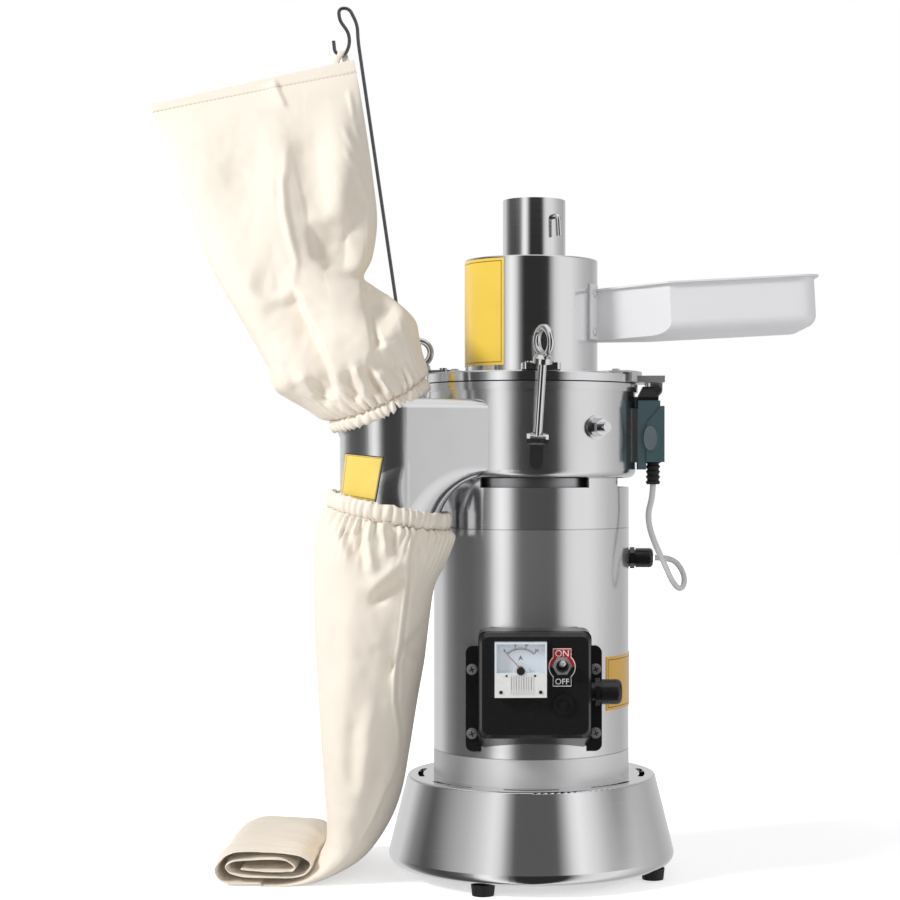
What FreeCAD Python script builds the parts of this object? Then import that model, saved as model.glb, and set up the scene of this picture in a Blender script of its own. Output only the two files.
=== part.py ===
import FreeCAD, Part
import math
import os

# Electric grain mill: a vertical motor in a steel barrel, with a hammer crusher on top.
# The origin is the machine axis on the floor. +X points along the feed chute, -Y to the
# control box, +Z up. Azimuths are degrees from +X, so the front is at -90. Millimetres.

V = FreeCAD.Vector

# Stand and barrel
FOOT_H = 9.3
FOOT_R = 10.0
FOOT_PCD = 220.0
FOOT_AZ = (-110.9, -20.9, 69.1, 159.1)
FOOT_BORE_R = 3.25
BASE_R = 125.0
BASE_TOP_R = 106.6
BASE_TOP_Z = 84.0
BASE_WALL = 3.0
VENT_R = 95.5
VENT_WIDTH = 4.6
VENT_SPAN = 25.0
BARREL_R = 84.15
BARREL_WALL = 2.5
BARREL_IN = BARREL_R - BARREL_WALL
BARREL_TOP = 338.8
NOTCH_Z = 331.0
NOTCH_SPAN = 65.0
NOTCH_AZ = (-87.7, 2.3, 92.3, 182.3)

# Crusher chamber and its duct
POT_R = 90.0
POT_WALL = 5.0
POT_FLOOR = 8.0
FLANGE_R = 92.0
FLANGE_Z0 = 412.0
FLANGE_Z1 = 418.8
DUCT_TOP = 404.4
DUCT_BOTTOM = 341.5
DUCT_EDGE = 8.0
DUCT_AZ = 22.0
DUCT_REACH = 118.0
DUCT_STEP = 0.05
HEAD_Z = 352.0
DUCT_WALL = 4.0
PIPE_X = -116.4
PIPE_Y = -70.0
PIPE_R = 42.0
PIPE_END = 290.8
BEND_IN = 31.0
COLLAR_R = 39.4
COLLAR_LEAN = 24.1
COLLAR_LENGTH = 63.0
KNEE = V(-115.2, PIPE_Y, 371.7)
LINER_MID = 20.0
LINER_SPAN = 210.0

# Lid, neck and chute
LID_Z0 = 419.8
LID_Z1 = 428.0
NECK_R = 57.15
NECK_WALL = 2.5
NECK_TOP = 526.0
SLEEVE_R = 27.0
SLEEVE_X = 2.5
SLEEVE_TOP = 578.0
TRAY_END = 241.0
TRAY_HALF_W = 55.0
TRAY_MOUTH = 14.0
TRAY_Z = 456.5
TRAY_H = 44.0
TRAY_TILT = 3.0
SHEET = 1.5

# Swing bolts: the azimuth and side lean of each
SWING_R = 97.0
SWING_Z = 371.0
SWING_AT = {"front": (-87.0, -3.0), "rear": (150.0, 0.0)}
SWING_LEAN = 14.0
ROD_R = 3.5
EAR_TOP = 433.5
EAR_HALF_W = 16.0
EAR_OUT = 4.0
NUT_GAP = 0.8
LUG_FACE = -5.4
RING_TURN = 62.0

# Lid hinge and interlock switch
HINGE_X = 108.0
HINGE_Z = 414.9
HINGE_PIN_R = 2.5
KNUCKLE_Y = (6.0, 26.0)
CHEEK = 5.0
SWITCH_X = (90.6, 113.0)
SWITCH_Y = (-33.0, -8.0)
SWITCH_Z = (346.0, 404.6)
BOOT_TOP = 352.4
CABLE_R = 2.5
GLAND_Z = 269.6

# Control box, in a frame of its own: across, out from the axis, up
BOX_TURN = 1.7
BOX_FRONT = 112.0
BOX_HALF_W = 43.2
BOX_Z = (131.5, 210.7)
WING_HALF_W = 56.5
WING_Y = 72.0
METER_X = (-33.0, 9.0)
METER_Z = (162.4, 206.9)
TOGGLE_AT = (21.6, 187.4)
RESET_AT = (22.7, 156.0)
BOX_GLAND_AT = (90.0, 163.7)
SCREWS_AT = ((-51.3, 180.6), (-51.3, 127.6), (51.3, 180.6), (51.3, 127.6))
NEEDLE_REST = 43.0
TOGGLE_REST = 11.0

# Motor and hammer rotor
SHAFT_R = 8.5
RUN_GAP = 0.03
BEARING_OR = 20.0
BEARING_W = 12.0
LOWER_SEAT = 104.0
UPPER_SEAT = 306.0
HAMMER_PIN_R = 46.0
HAMMER_Z = (362.0, 376.0)

# Hook rod and bags
HOOK_R = 1.5
HOOK_LEAN = 8.3


def cyl(r, z0, z1, x=0.0, y=0.0):
    return Part.makeCylinder(r, z1 - z0, V(x, y, z0))


def ring(r_out, r_in, z0, z1, x=0.0, y=0.0):
    return cyl(r_out, z0, z1, x, y).cut(cyl(r_in, z0 - 1, z1 + 1, x, y))


def box(x0, x1, y0, y1, z0, z1):
    return Part.makeBox(x1 - x0, y1 - y0, z1 - z0, V(x0, y0, z0))


def fuse(*shapes):
    return shapes[0].fuse(list(shapes[1:])).removeSplitter()


def spin(points, angle=360.0, start=0.0):
    """A solid turned about the machine axis from (radius, height) points."""
    outline = [V(r, 0, z) for r, z in points]
    face = Part.Face(Part.makePolygon(outline + outline[:1]))
    face.rotate(V(0, 0, 0), V(0, 0, 1), start)
    return face.revolve(V(0, 0, 0), V(0, 0, 1), angle)


def sector(r0, r1, z0, z1, middle, span):
    return spin([(r0, z0), (r1, z0), (r1, z1), (r0, z1)], span, middle - span / 2)


def round_rings(shape, rings):
    """Fillets circular edges, each given as (radius, height, fillet)."""
    for r, z, fillet in rings:
        edges = [e for e in shape.Edges if hasattr(e.Curve, "Radius")
                 and abs(e.Curve.Radius - r) < 0.3 and abs(e.Curve.Center.z - z) < 0.3]
        shape = shape.makeFillet(fillet, edges)
    return shape


def upright_edges(shape):
    found = []
    for edge in shape.Edges:
        if len(edge.Vertexes) == 2:
            run = edge.Vertexes[1].Point - edge.Vertexes[0].Point
            if abs(run.x) < 1e-6 and abs(run.y) < 1e-6:
                found.append(edge)
    return found


def turned(shape, centre, axis, angle):
    copy = shape.copy()
    copy.rotate(centre, axis, angle)
    return copy


def about_z(shape, angle):
    return turned(shape, V(0, 0, 0), V(0, 0, 1), angle)


def moved(shape, x=0.0, y=0.0, z=0.0):
    copy = shape.copy()
    copy.translate(V(x, y, z))
    return copy


def hexagon(across_flats, z0, z1):
    corner = across_flats / math.sqrt(3)
    points = [V(corner * math.cos(math.radians(60 * k)), corner * math.sin(math.radians(60 * k)), z0)
              for k in range(6)]
    return Part.Face(Part.makePolygon(points + points[:1])).extrude(V(0, 0, z1 - z0))


def along(shape, start, direction):
    """Turns a shape built up the Z axis so that it runs from start in a direction."""
    turn = FreeCAD.Rotation(V(0, 0, 1), direction)
    placed = shape.copy()
    placed.Placement = FreeCAD.Placement(start, turn).multiply(placed.Placement)
    return placed


def bar(start, end, r):
    return Part.makeCylinder(r, (end - start).Length, start, end - start)


def bent_rod(points, radii, r):
    """A round rod along straight runs joined by tangent arcs, one radius at each inner point."""
    edges = []
    here = points[0]
    for k in range(1, len(points) - 1):
        before = (points[k] - points[k - 1]).normalize()
        after = (points[k + 1] - points[k]).normalize()
        half_turn = math.acos(max(-1.0, min(1.0, before.dot(after)))) / 2
        back = radii[k - 1] * math.tan(half_turn)
        start = points[k] - before * back
        end = points[k] + after * back
        inward = (after - before).normalize()
        middle = points[k] + inward * (radii[k - 1] / math.cos(half_turn) - radii[k - 1])
        edges.append(Part.LineSegment(here, start).toShape())
        edges.append(Part.Arc(start, middle, end).toShape())
        here = end
    edges.append(Part.LineSegment(here, points[-1]).toShape())
    path = Part.Wire(edges)
    print("rod radii", [round(radius, 1) for radius in radii], "length", round(path.Length, 1))
    section = Part.Wire(Part.makeCircle(r, points[0], points[1] - points[0]))
    return path.makePipeShell([section], True, True)


def free_radii(points):
    """The largest even arc at each inner point: 0.45 of the shorter run beside it."""
    radii = []
    for k in range(1, len(points) - 1):
        before = points[k] - points[k - 1]
        after = points[k + 1] - points[k]
        half_turn = before.getAngle(after) / 2
        radii.append(0.45 * min(before.Length, after.Length) / math.tan(half_turn))
    return radii


def rounded_wire(centre, u, v, half_u, half_v, corner):
    """A rounded rectangle of four lines and four arcs in the plane of u and v."""
    def at(a, b):
        return centre + u * a + v * b
    k = corner * (1 - math.sqrt(0.5))
    a, b, c = half_u, half_v, corner
    edges = [
        Part.LineSegment(at(a, -b + c), at(a, b - c)).toShape(),
        Part.Arc(at(a, b - c), at(a - k, b - k), at(a - c, b)).toShape(),
        Part.LineSegment(at(a - c, b), at(-a + c, b)).toShape(),
        Part.Arc(at(-a + c, b), at(-a + k, b - k), at(-a, b - c)).toShape(),
        Part.LineSegment(at(-a, b - c), at(-a, -b + c)).toShape(),
        Part.Arc(at(-a, -b + c), at(-a + k, -b + k), at(-a + c, -b)).toShape(),
        Part.LineSegment(at(-a + c, -b), at(a - c, -b)).toShape(),
        Part.Arc(at(a - c, -b), at(a - k, -b + k), at(a, -b + c)).toShape(),
    ]
    return Part.Wire(edges)


# stand and barrel


def foot_centres():
    r = FOOT_PCD / 2
    return [(r * math.cos(math.radians(a)), r * math.sin(math.radians(a))) for a in FOOT_AZ]


def rubber_feet():
    foot = spin([(FOOT_BORE_R, 0), (FOOT_R - 1, 0), (FOOT_R, FOOT_H), (5.5, FOOT_H),
                 (5.5, FOOT_H + BASE_WALL), (7, FOOT_H + BASE_WALL), (6, FOOT_H + BASE_WALL + 2.2),
                 (FOOT_BORE_R, FOOT_H + BASE_WALL + 2.2)])
    return Part.makeCompound([moved(foot, x, y) for x, y in foot_centres()])


def base_skirt():
    lip = FOOT_H + BASE_WALL
    under = BASE_TOP_Z - BASE_WALL
    shell = spin([(96, FOOT_H), (BASE_R, FOOT_H), (BASE_TOP_R, BASE_TOP_Z), (68, BASE_TOP_Z),
                  (68, under), (BASE_TOP_R - 2.4, under), (BASE_R - 3.2, lip), (96, lip)])
    shell = round_rings(shell, [(BASE_R, FOOT_H, 8), (BASE_R - 3.2, lip, 4),
                                (BASE_TOP_R, BASE_TOP_Z, 2)])
    for k in range(8):
        shell = shell.cut(vent_slot(-90 + 45 * k))
    for x, y in foot_centres():
        shell = shell.cut(cyl(5.5, FOOT_H - 1, lip + 1, x, y))
    return shell.cut(cyl(4, under - 1, BASE_TOP_Z + 1, *capacitor_place()))


def vent_slot(azimuth):
    z0, z1 = BASE_TOP_Z - BASE_WALL - 1, BASE_TOP_Z + 1
    slot = sector(VENT_R - VENT_WIDTH / 2, VENT_R + VENT_WIDTH / 2, z0, z1, azimuth, VENT_SPAN)
    for end in (-VENT_SPAN / 2, VENT_SPAN / 2):
        slot = slot.fuse(about_z(cyl(VENT_WIDTH / 2, z0, z1, VENT_R), azimuth + end))
    return slot


def capacitor_place():
    a = math.radians(112.5)
    return 73 * math.cos(a), 73 * math.sin(a)


def run_capacitor():
    x, y = capacitor_place()
    can = cyl(17, 16, 71, x, y)
    can = fuse(can, cyl(4, 71, 90, x, y), cyl(7, 71, BASE_TOP_Z - BASE_WALL, x, y))
    nut = hexagon(10, BASE_TOP_Z, BASE_TOP_Z + 5).cut(cyl(4, BASE_TOP_Z - 1, BASE_TOP_Z + 6))
    return Part.makeCompound([can, moved(nut, x, y)])


def barrel():
    tube = ring(BARREL_R, BARREL_IN, BASE_TOP_Z, BARREL_TOP)
    for azimuth in NOTCH_AZ:
        tube = tube.cut(sector(70, 95, NOTCH_Z, BARREL_TOP + 1, azimuth, NOTCH_SPAN))
    tube = tube.cut(bar(V(70, 0, GLAND_Z), V(95, 0, GLAND_Z), 5))
    for shank in box_screw_shanks():
        tube = tube.cut(shank)
    return tube.cut(box_frame(box(-9, 9, 60, 100, 150, 168)))


# motor


def lower_bearing_bracket():
    seat, hub = LOWER_SEAT, 27.0
    rim = ring(BARREL_IN, 73, seat - 4, seat + 10)
    body = cyl(hub, seat - 4, seat + BEARING_W)
    arm = box(0, 76, -6, 6, seat - 4, seat + 6)
    arms = [about_z(arm, 45 + 90 * k) for k in range(4)]
    bracket = fuse(rim, body, *arms)
    return bracket.cut(cyl(BEARING_OR, seat, seat + 30)).cut(cyl(12, seat - 9, seat + 9))


def upper_bearing_bracket():
    seat, plate = UPPER_SEAT, UPPER_SEAT + BEARING_W
    disc = cyl(BARREL_IN, plate - 6, plate)
    wall = ring(74, 69, plate - 1, BARREL_TOP)
    hub = cyl(27, seat, plate)
    bracket = fuse(disc, wall, hub).cut(cyl(BEARING_OR, seat - 1, plate - 1.5))
    bracket = bracket.cut(cyl(14, plate - 2, plate + 1))
    for k in range(8):
        bracket = bracket.cut(about_z(cyl(7, plate - 9, plate + 3, 55), 22.5 + 45 * k))
    return bracket


def ball_bearings():
    race = ring(BEARING_OR, 15.5, 0, BEARING_W)
    inner = ring(13, SHAFT_R + RUN_GAP, 0, BEARING_W)
    seal = ring(15.5, 13, 1, BEARING_W - 1)
    bearing = fuse(race, inner, seal)
    return Part.makeCompound([moved(bearing, 0, 0, LOWER_SEAT), moved(bearing, 0, 0, UPPER_SEAT - 1.5)])


def stator_core():
    core = ring(BARREL_IN, 48, 142, 238)
    for k in range(6):
        core = core.cut(about_z(cyl(5, 140, 240, BARREL_IN), 60 * k))
    return core


def stator_windings():
    hank = spin([(52, 0), (74, 0), (74, 17), (52, 17)])
    hank = round_rings(hank, [(52, 0, 5), (74, 0, 6)])
    top = moved(turned(hank, V(0, 0, 0), V(1, 0, 0), 180), 0, 0, 142 + 96 + 17)
    lower = moved(hank, 0, 0, 142 - 17)
    return Part.makeCompound([lower, top])


def motor_shaft():
    shaft = spin([(0, 52), (6, 52), (6, 98), (SHAFT_R, 98), (SHAFT_R, 122), (11, 122), (11, 300),
                  (SHAFT_R, 300), (SHAFT_R, 394), (6, 394), (6, 406), (0, 406)])
    core = fuse(cyl(47.2, 142, 238), ring(44, 36, 138, 242))
    nut = moved(hexagon(18, 0, 7), 0, 0, 394).cut(cyl(6, 390, 404))
    return Part.makeCompound([fuse(shaft, core), nut])


def cooling_fan():
    hub = ring(13, 6, 58, 78)
    disc = ring(50, 12, 58, 60)
    blade = box(12, 49, -0.9, 0.9, 59.5, 74)
    fan = fuse(hub, disc, *[about_z(blade, 45 * k) for k in range(8)])
    return fan


def shaft_seal():
    return ring(15, SHAFT_R + 0.06, BARREL_TOP, BARREL_TOP + POT_FLOOR)


# crusher


def duct_section(theta, inset):
    """The duct's outline across its bend: 0 degrees stands upright, 90 lies level."""
    a = math.radians(theta)
    centre_x = PIPE_X + PIPE_R + BEND_IN
    centre_z = DUCT_BOTTOM - BEND_IN
    across = 2 * PIPE_R + BEND_IN
    rise = DUCT_TOP - centre_z
    out = 1 / math.hypot(math.sin(a) / across, math.cos(a) / rise)
    radial = V(-math.sin(a), 0, math.cos(a))
    centre = V(centre_x, PIPE_Y, centre_z) + radial * ((out + BEND_IN) / 2)
    half_h = (out - BEND_IN) / 2 - inset
    half_w = PIPE_R - inset
    edge = DUCT_EDGE - inset
    corner = edge + (min(half_h, half_w) - 0.4 - edge) * (theta / 90) ** 1.5
    return rounded_wire(centre, radial, V(0, 1, 0), half_h, half_w, corner)


def collar_up():
    lean = math.radians(COLLAR_LEAN)
    return V(-math.sin(lean), 0, math.cos(lean))


def outlet_head(r, edge, z0, z1):
    """The upper body of the outlet: round over the pipe, straight to the chamber, edges rounded."""
    start, side, end = V(0, r, z0), V(-r, 0, z0), V(0, -r, z0)
    far = [V(DUCT_REACH, -r, z0), V(DUCT_REACH, r, z0)]
    edges = [Part.Arc(start, side, end).toShape(), Part.LineSegment(end, far[0]).toShape(),
             Part.LineSegment(far[0], far[1]).toShape(), Part.LineSegment(far[1], start).toShape()]
    head = Part.Face(Part.Wire(edges)).extrude(V(0, 0, z1 - z0))
    rim = [e for e in head.Edges if e.BoundBox.ZMin > z1 - 0.1 and e.BoundBox.XMin < DUCT_REACH - 1]
    return moved(head.makeFillet(edge, rim), PIPE_X, PIPE_Y)


def duct(inset):
    """The outlet, the pipe it runs into and the leaning collar, drawn in by a wall's inset."""
    past_end = 1 if inset else 0
    wires = [duct_section(theta, inset) for theta in (0, 30, 60, 90)]
    bend = Part.makeLoft(wires, True, False)
    level = Part.Face(wires[0]).extrude(V(DUCT_REACH - BEND_IN - PIPE_R - 1, 0, 0))
    r = PIPE_R - inset + DUCT_STEP
    head = outlet_head(r, DUCT_EDGE - inset, HEAD_Z, DUCT_TOP - inset)
    outlet = turned(bend.fuse([level, head]), V(PIPE_X, PIPE_Y, 0), V(0, 0, 1), DUCT_AZ)
    pipe = cyl(r, PIPE_END - past_end, HEAD_Z, PIPE_X, PIPE_Y)
    collar = Part.makeCylinder(COLLAR_R - inset, COLLAR_LENGTH + past_end, KNEE, collar_up())
    return outlet.fuse([pipe, collar, Part.makeSphere(COLLAR_R - inset, KNEE)])


def chamber():
    pot = cyl(POT_R, BARREL_TOP, FLANGE_Z0 + 1)
    pot = round_rings(pot, [(POT_R, BARREL_TOP, 7)])
    flange = cyl(FLANGE_R, FLANGE_Z0, FLANGE_Z1)
    pad = box(78, SWITCH_X[0], SWITCH_Y[0] + 6, SWITCH_Y[1], 352, 398)
    axis, foot, top = hook_line()
    boss = Part.makeCylinder(7, 30, foot - axis * 4, axis)
    web = box(-97, -80, 3, 13, 378, 400)
    body = pot.fuse([flange, duct(0), pad, boss, web])
    body = body.cut(cyl(BARREL_R + 0.5, PIPE_END - 9, BARREL_TOP))
    hollow = cyl(POT_R - POT_WALL, BARREL_TOP + POT_FLOOR, FLANGE_Z1 + 1)
    saddle = cyl(BARREL_R + 0.5 + DUCT_WALL, PIPE_END - 9, BARREL_TOP + DUCT_WALL)
    body = body.cut(hollow.fuse(duct(DUCT_WALL).cut(saddle)))
    body = body.cut(cyl(15, BARREL_TOP - 1, BARREL_TOP + 20))
    body = body.cut(Part.makeCylinder(HOOK_R, 60, foot, axis))
    for tool in lug_screw_shanks() + [stud_shank()]:
        body = body.cut(tool)
    return body.removeSplitter()


def lid_gasket():
    return ring(POT_R, POT_R - POT_WALL, FLANGE_Z1, LID_Z0)


def toothed_liner():
    """Cast crushing ring: saw teeth all round the chamber wall away from the outlet."""
    outer = POT_R - POT_WALL
    z0, z1 = BARREL_TOP + POT_FLOOR, 404
    arc = sector(77, outer, z0, z1, LINER_MID, LINER_SPAN)
    count = 22
    for k in range(count):
        azimuth = LINER_MID - LINER_SPAN / 2 + LINER_SPAN * (k + 0.5) / count
        corners = [V(75, -4.2, z0 - 1), V(80.5, 3.4, z0 - 1), V(75, 4.2, z0 - 1)]
        tooth = Part.Face(Part.makePolygon(corners + corners[:1]))
        arc = arc.cut(about_z(tooth.extrude(V(0, 0, z1 - z0 + 2)), azimuth))
    return arc


def sieve_ring():
    """Curved screen across the outlet, with rows of slots."""
    outer = POT_R - POT_WALL - 1
    z0, z1 = BARREL_TOP + POT_FLOOR, 404
    middle = LINER_MID + 180
    span = 356 - LINER_SPAN
    screen = sector(outer - 1.5, outer, z0, z1, middle, span)
    across = 18
    for k in range(across):
        azimuth = middle - span / 2 + span * (k + 0.5) / across
        slot = box(outer - 5, outer + 5, -2.2, 2.2, z0 + 8, z1 - 8)
        screen = screen.cut(about_z(slot, azimuth))
    return screen


def hammer_carrier():
    z0, z1 = HAMMER_Z
    low = cyl(58, z0 - 8, z0 - 2)
    high = cyl(58, z1 + 2, z1 + 8)
    hub = cyl(20, z0 - 8, 394)
    body = fuse(low, high, hub).cut(cyl(SHAFT_R, z0 - 20, 400))
    pins = [about_z(cyl(5, z0 - 8, z1 + 10, HAMMER_PIN_R), 45 + 90 * k) for k in range(4)]
    return fuse(body, *pins)


def hammer(k):
    z0, z1 = HAMMER_Z
    x = HAMMER_PIN_R
    blade = fuse(cyl(10, z0, z1, x), box(x, x + 24, -9, 9, z0, z1))
    blade = blade.cut(cyl(5.05, z0 - 1, z1 + 1, x))
    return about_z(blade, 45 + 90 * k)


# lid, neck and chute


def lid():
    plate = cyl(FLANGE_R, LID_Z0, LID_Z1)
    plate = round_rings(plate, [(FLANGE_R, LID_Z1, 1.5)])
    return plate.cut(cyl(NECK_R - NECK_WALL, LID_Z0 - 1, LID_Z1 + 1))


def tray_block(inset, z0, z1, end_round):
    """The chute's plan, flared from the neck and rounded at the far end, as one block."""
    w, m = TRAY_HALF_W - inset, TRAY_MOUTH - inset
    end = TRAY_END - inset
    corner = 14 - inset
    start = NECK_R - 7
    k = corner * (1 - math.sqrt(0.5))
    shoulder = 118 + 0.35 * inset
    points = [(start, m), (NECK_R + 1, m), (shoulder, w), (end - corner, w)]
    upper = [V(x, y, z0) for x, y in points]
    lower = [V(x, -y, z0) for x, y in reversed(points)]
    edges = [Part.LineSegment(a, b).toShape() for a, b in zip(upper, upper[1:])]
    edges.append(Part.Arc(V(end - corner, w, z0), V(end - k, w - k, z0), V(end, w - corner, z0)).toShape())
    edges.append(Part.LineSegment(V(end, w - corner, z0), V(end, corner - w, z0)).toShape())
    edges.append(Part.Arc(V(end, corner - w, z0), V(end - k, k - w, z0), V(end - corner, -w, z0)).toShape())
    edges += [Part.LineSegment(a, b).toShape() for a, b in zip(lower, lower[1:])]
    edges.append(Part.LineSegment(lower[-1], upper[0]).toShape())
    block = Part.Face(Part.Wire(edges)).extrude(V(0, 0, z1 - z0))
    if end_round:
        low = [e for e in block.Edges if e.BoundBox.ZMax < z0 + 0.01 and e.BoundBox.XMin > end - corner - 0.1]
        block = block.makeFillet(end_round, low)
    return block


def tilted(shape):
    return turned(shape, V(NECK_R, 0, TRAY_Z), V(0, 1, 0), -TRAY_TILT)


def tray():
    top = TRAY_Z + TRAY_H
    pan = tray_block(0, TRAY_Z, top, 11)
    rim = tray_block(-4, top - 1.5, top, 0)
    hollow = tray_block(SHEET, TRAY_Z + SHEET, top + 5, 9.5)
    trough = tilted(fuse(pan, rim).cut(hollow))
    plate = sector(NECK_R, NECK_R + SHEET, 457, 504, 0, 62)
    neck = cyl(NECK_R, 400, 600)
    whole = trough.cut(neck).fuse(plate).cut(tilted(hollow))
    for shank in tray_screw_shanks():
        whole = whole.cut(shank)
    return whole.removeSplitter()


def tray_screw_shanks():
    shanks = []
    for azimuth in (-22.5, 22.5):
        for z in (463.6, 496.6):
            shank = bar(V(NECK_R - NECK_WALL - 3, 0, z), V(NECK_R + SHEET, 0, z), 2)
            shanks.append(about_z(shank, azimuth))
    return shanks


def tray_screws():
    screws = []
    for azimuth in (-22.5, 22.5):
        for z in (463.6, 496.6):
            head = Part.makeSphere(4.4, V(NECK_R + SHEET - 2.4, 0, z))
            keep = box(NECK_R + SHEET + 0.13, NECK_R + 9, -9, 9, z - 9, z + 9)
            head = about_z(head.common(keep), azimuth)
            neckless = bar(V(NECK_R - 5, 0, z), V(NECK_R + SHEET + 0.13, 0, z), 2)
            screws.append(fuse(head, about_z(neckless, azimuth)))
    return Part.makeCompound(screws)


def neck():
    tube = ring(NECK_R, NECK_R - NECK_WALL, LID_Z1, NECK_TOP)
    cap = cyl(NECK_R - NECK_WALL, NECK_TOP - 3, NECK_TOP)
    tube = fuse(tube, cap)
    tube = round_rings(tube, [(NECK_R, NECK_TOP, 1.2)])
    tube = tube.cut(cyl(SLEEVE_R + 0.06, NECK_TOP - 5, NECK_TOP + 1, SLEEVE_X))
    tube = tube.cut(tilted(tray_block(SHEET, TRAY_Z + SHEET, TRAY_Z + TRAY_H + 5, 0)))
    for shank in tray_screw_shanks():
        tube = tube.cut(shank)
    return tube


def feed_sleeve():
    tube = ring(SLEEVE_R, SLEEVE_R - 2, 478, SLEEVE_TOP, SLEEVE_X)
    cap = cyl(SLEEVE_R - 2, SLEEVE_TOP - 2.5, SLEEVE_TOP, SLEEVE_X)
    a = math.radians(-53)
    out = V(math.cos(a), math.sin(a), 0)
    wall = V(SLEEVE_X, 0, 562) + out * (SLEEVE_R - 1.5)
    elbow = wall + out * 8.5
    handle = bent_rod([wall, elbow, elbow + V(0.8, 0, -17)], [3.4], 2.5)
    return fuse(tube, cap, handle)


def neck_label():
    return sector(NECK_R, NECK_R + 0.4, 434, 524, 203, 87)


# swing bolts


def swing_place(shape, which):
    """Moves a shape from a clamp's own frame, x outward and z up from the pivot, to its place."""
    azimuth, side = SWING_AT[which]
    placed = turned(shape, V(0, 0, 0), V(1, 0, 0), side)
    placed.translate(V(SWING_R, 0, SWING_Z))
    return about_z(placed, azimuth)


def swing_lean(shape):
    return turned(shape, V(0, 0, 0), V(0, 1, 0), SWING_LEAN)


def clamp_lug():
    base = box(-9, LUG_FACE, -5.6, 5.6, -19.5, 7)
    toe = along(cyl(5.6, 0, 9 + LUG_FACE), V(-9, 0, -19.5), V(1, 0, 0))
    cheek = fuse(box(-9, 1, 3.9, 6.4, -6, 6), along(cyl(5.5, 0, 2.5), V(0.5, 3.9, 0), V(0, 1, 0)))
    other = turned(cheek, V(0, 0, 0), V(1, 0, 0), 180)
    lug = fuse(base, toe, cheek, other)
    lug = lug.cut(bar(V(0, -9, 0), V(0, 9, 0), 2.6))
    return lug.cut(bar(V(-12, 0, -19.5), V(3, 0, -19.5), 2.5))


def clamp_lugs():
    barrel_side = cyl(POT_R, 300, 440)
    return Part.makeCompound([swing_place(clamp_lug(), w).cut(barrel_side) for w in SWING_AT])


def lug_screw_shanks():
    return [swing_place(bar(V(-14, 0, -19.5), V(0, 0, -19.5), 2.5), w) for w in SWING_AT]


def clamp_pins():
    """Each pivot pin with its head and nut, and each lug's fixing screw."""
    pin = fuse(bar(V(0, -6.4, 0), V(0, 8.6, 0), 2.6), along(hexagon(8, 0, 2.6), V(0, -6.4, 0), V(0, -1, 0)))
    nut = along(hexagon(8, 0, 2.4).cut(cyl(2.6, -1, 5)), V(0, 6.4, 0), V(0, 1, 0))
    screw = fuse(bar(V(-12, 0, -19.5), V(LUG_FACE, 0, -19.5), 2.5),
                 along(cyl(4.2, 0, 2.4), V(LUG_FACE, 0, -19.5), V(1, 0, 0)))
    return Part.makeCompound([swing_place(s, w) for w in SWING_AT for s in (pin, nut, screw)])


def swing_bolt(which):
    eye = along(cyl(4.9, -3.6, 3.6), V(0, 0, 0), V(0, 1, 0))
    rod = fuse(eye, cyl(ROD_R, 3, EAR_TOP - SWING_Z + 7.2))
    rod = rod.cut(bar(V(0, -9, 0), V(0, 9, 0), 2.65))
    return swing_place(swing_lean(rod), which)


def eye_nut(which):
    z0 = EAR_TOP - SWING_Z + NUT_GAP
    base = cyl(8, z0, z0 + 4.5).fuse(Part.makeCone(8, 5.4, 3, V(0, 0, z0 + 4.5)))
    loop = Part.makeTorus(11, 3, V(0, 0, z0 + 18), V(1, 0, 0))
    nut = fuse(base, loop).cut(cyl(ROD_R + 0.05, z0 - 1, z0 + 7.1))
    nut = turned(nut, V(0, 0, 0), V(0, 0, 1), -RING_TURN)
    return swing_place(swing_lean(nut), which)


def clamp_ears():
    z0, z1 = LID_Z1, EAR_TOP
    inner, outer = 74.0, SWING_R + EAR_OUT
    plate = box(inner, outer, -EAR_HALF_W, EAR_HALF_W, z0, z1)
    plate = plate.makeFillet(4, upright_edges(plate))
    notch = fuse(box(SWING_R - 1, outer + 5, -4.6, 4.6, z0 - 5, z1 + 5), cyl(4.6, z0 - 5, z1 + 5, SWING_R - 1))
    plate = plate.cut(notch)
    solids = []
    for which in SWING_AT:
        azimuth = SWING_AT[which][0]
        shift = math.tan(math.radians(-SWING_AT[which][1])) * (z1 - SWING_Z)
        solids.append(about_z(moved(plate, 0, shift), azimuth))
        for y in (-9.6, 9.6):
            solids.append(about_z(cyl(3.4, z1, z1 + 1.8, 84, y + shift), azimuth))
    return Part.makeCompound(solids)


def stud_place(shape):
    return about_z(turned(shape, V(0, 0, 381), V(0, 1, 0), 90), -53.7)


def stud_shank():
    return stud_place(moved(cyl(4, 84, 108), 0, 0, 381))


def chamber_stud():
    """Plug screw of the lubrication port: flange washer, hex nut and the screw's end."""
    shank = cyl(4, 85, 106)
    washer = cyl(10, POT_R - 0.7, POT_R + 2.4).cut(cyl(4, 80, 110))
    nut = fuse(cyl(8.5, POT_R + 2.4, POT_R + 4), moved(hexagon(13, 0, 6), 0, 0, POT_R + 4)).cut(cyl(4, 80, 120))
    wall = turned(cyl(POT_R, -60, 60), V(0, 0, 0), V(0, 1, 0), 90)
    parts = [shank, washer.cut(wall), nut]
    return Part.makeCompound([stud_place(moved(p, 0, 0, 381)) for p in parts])


# hinge and interlock


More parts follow.
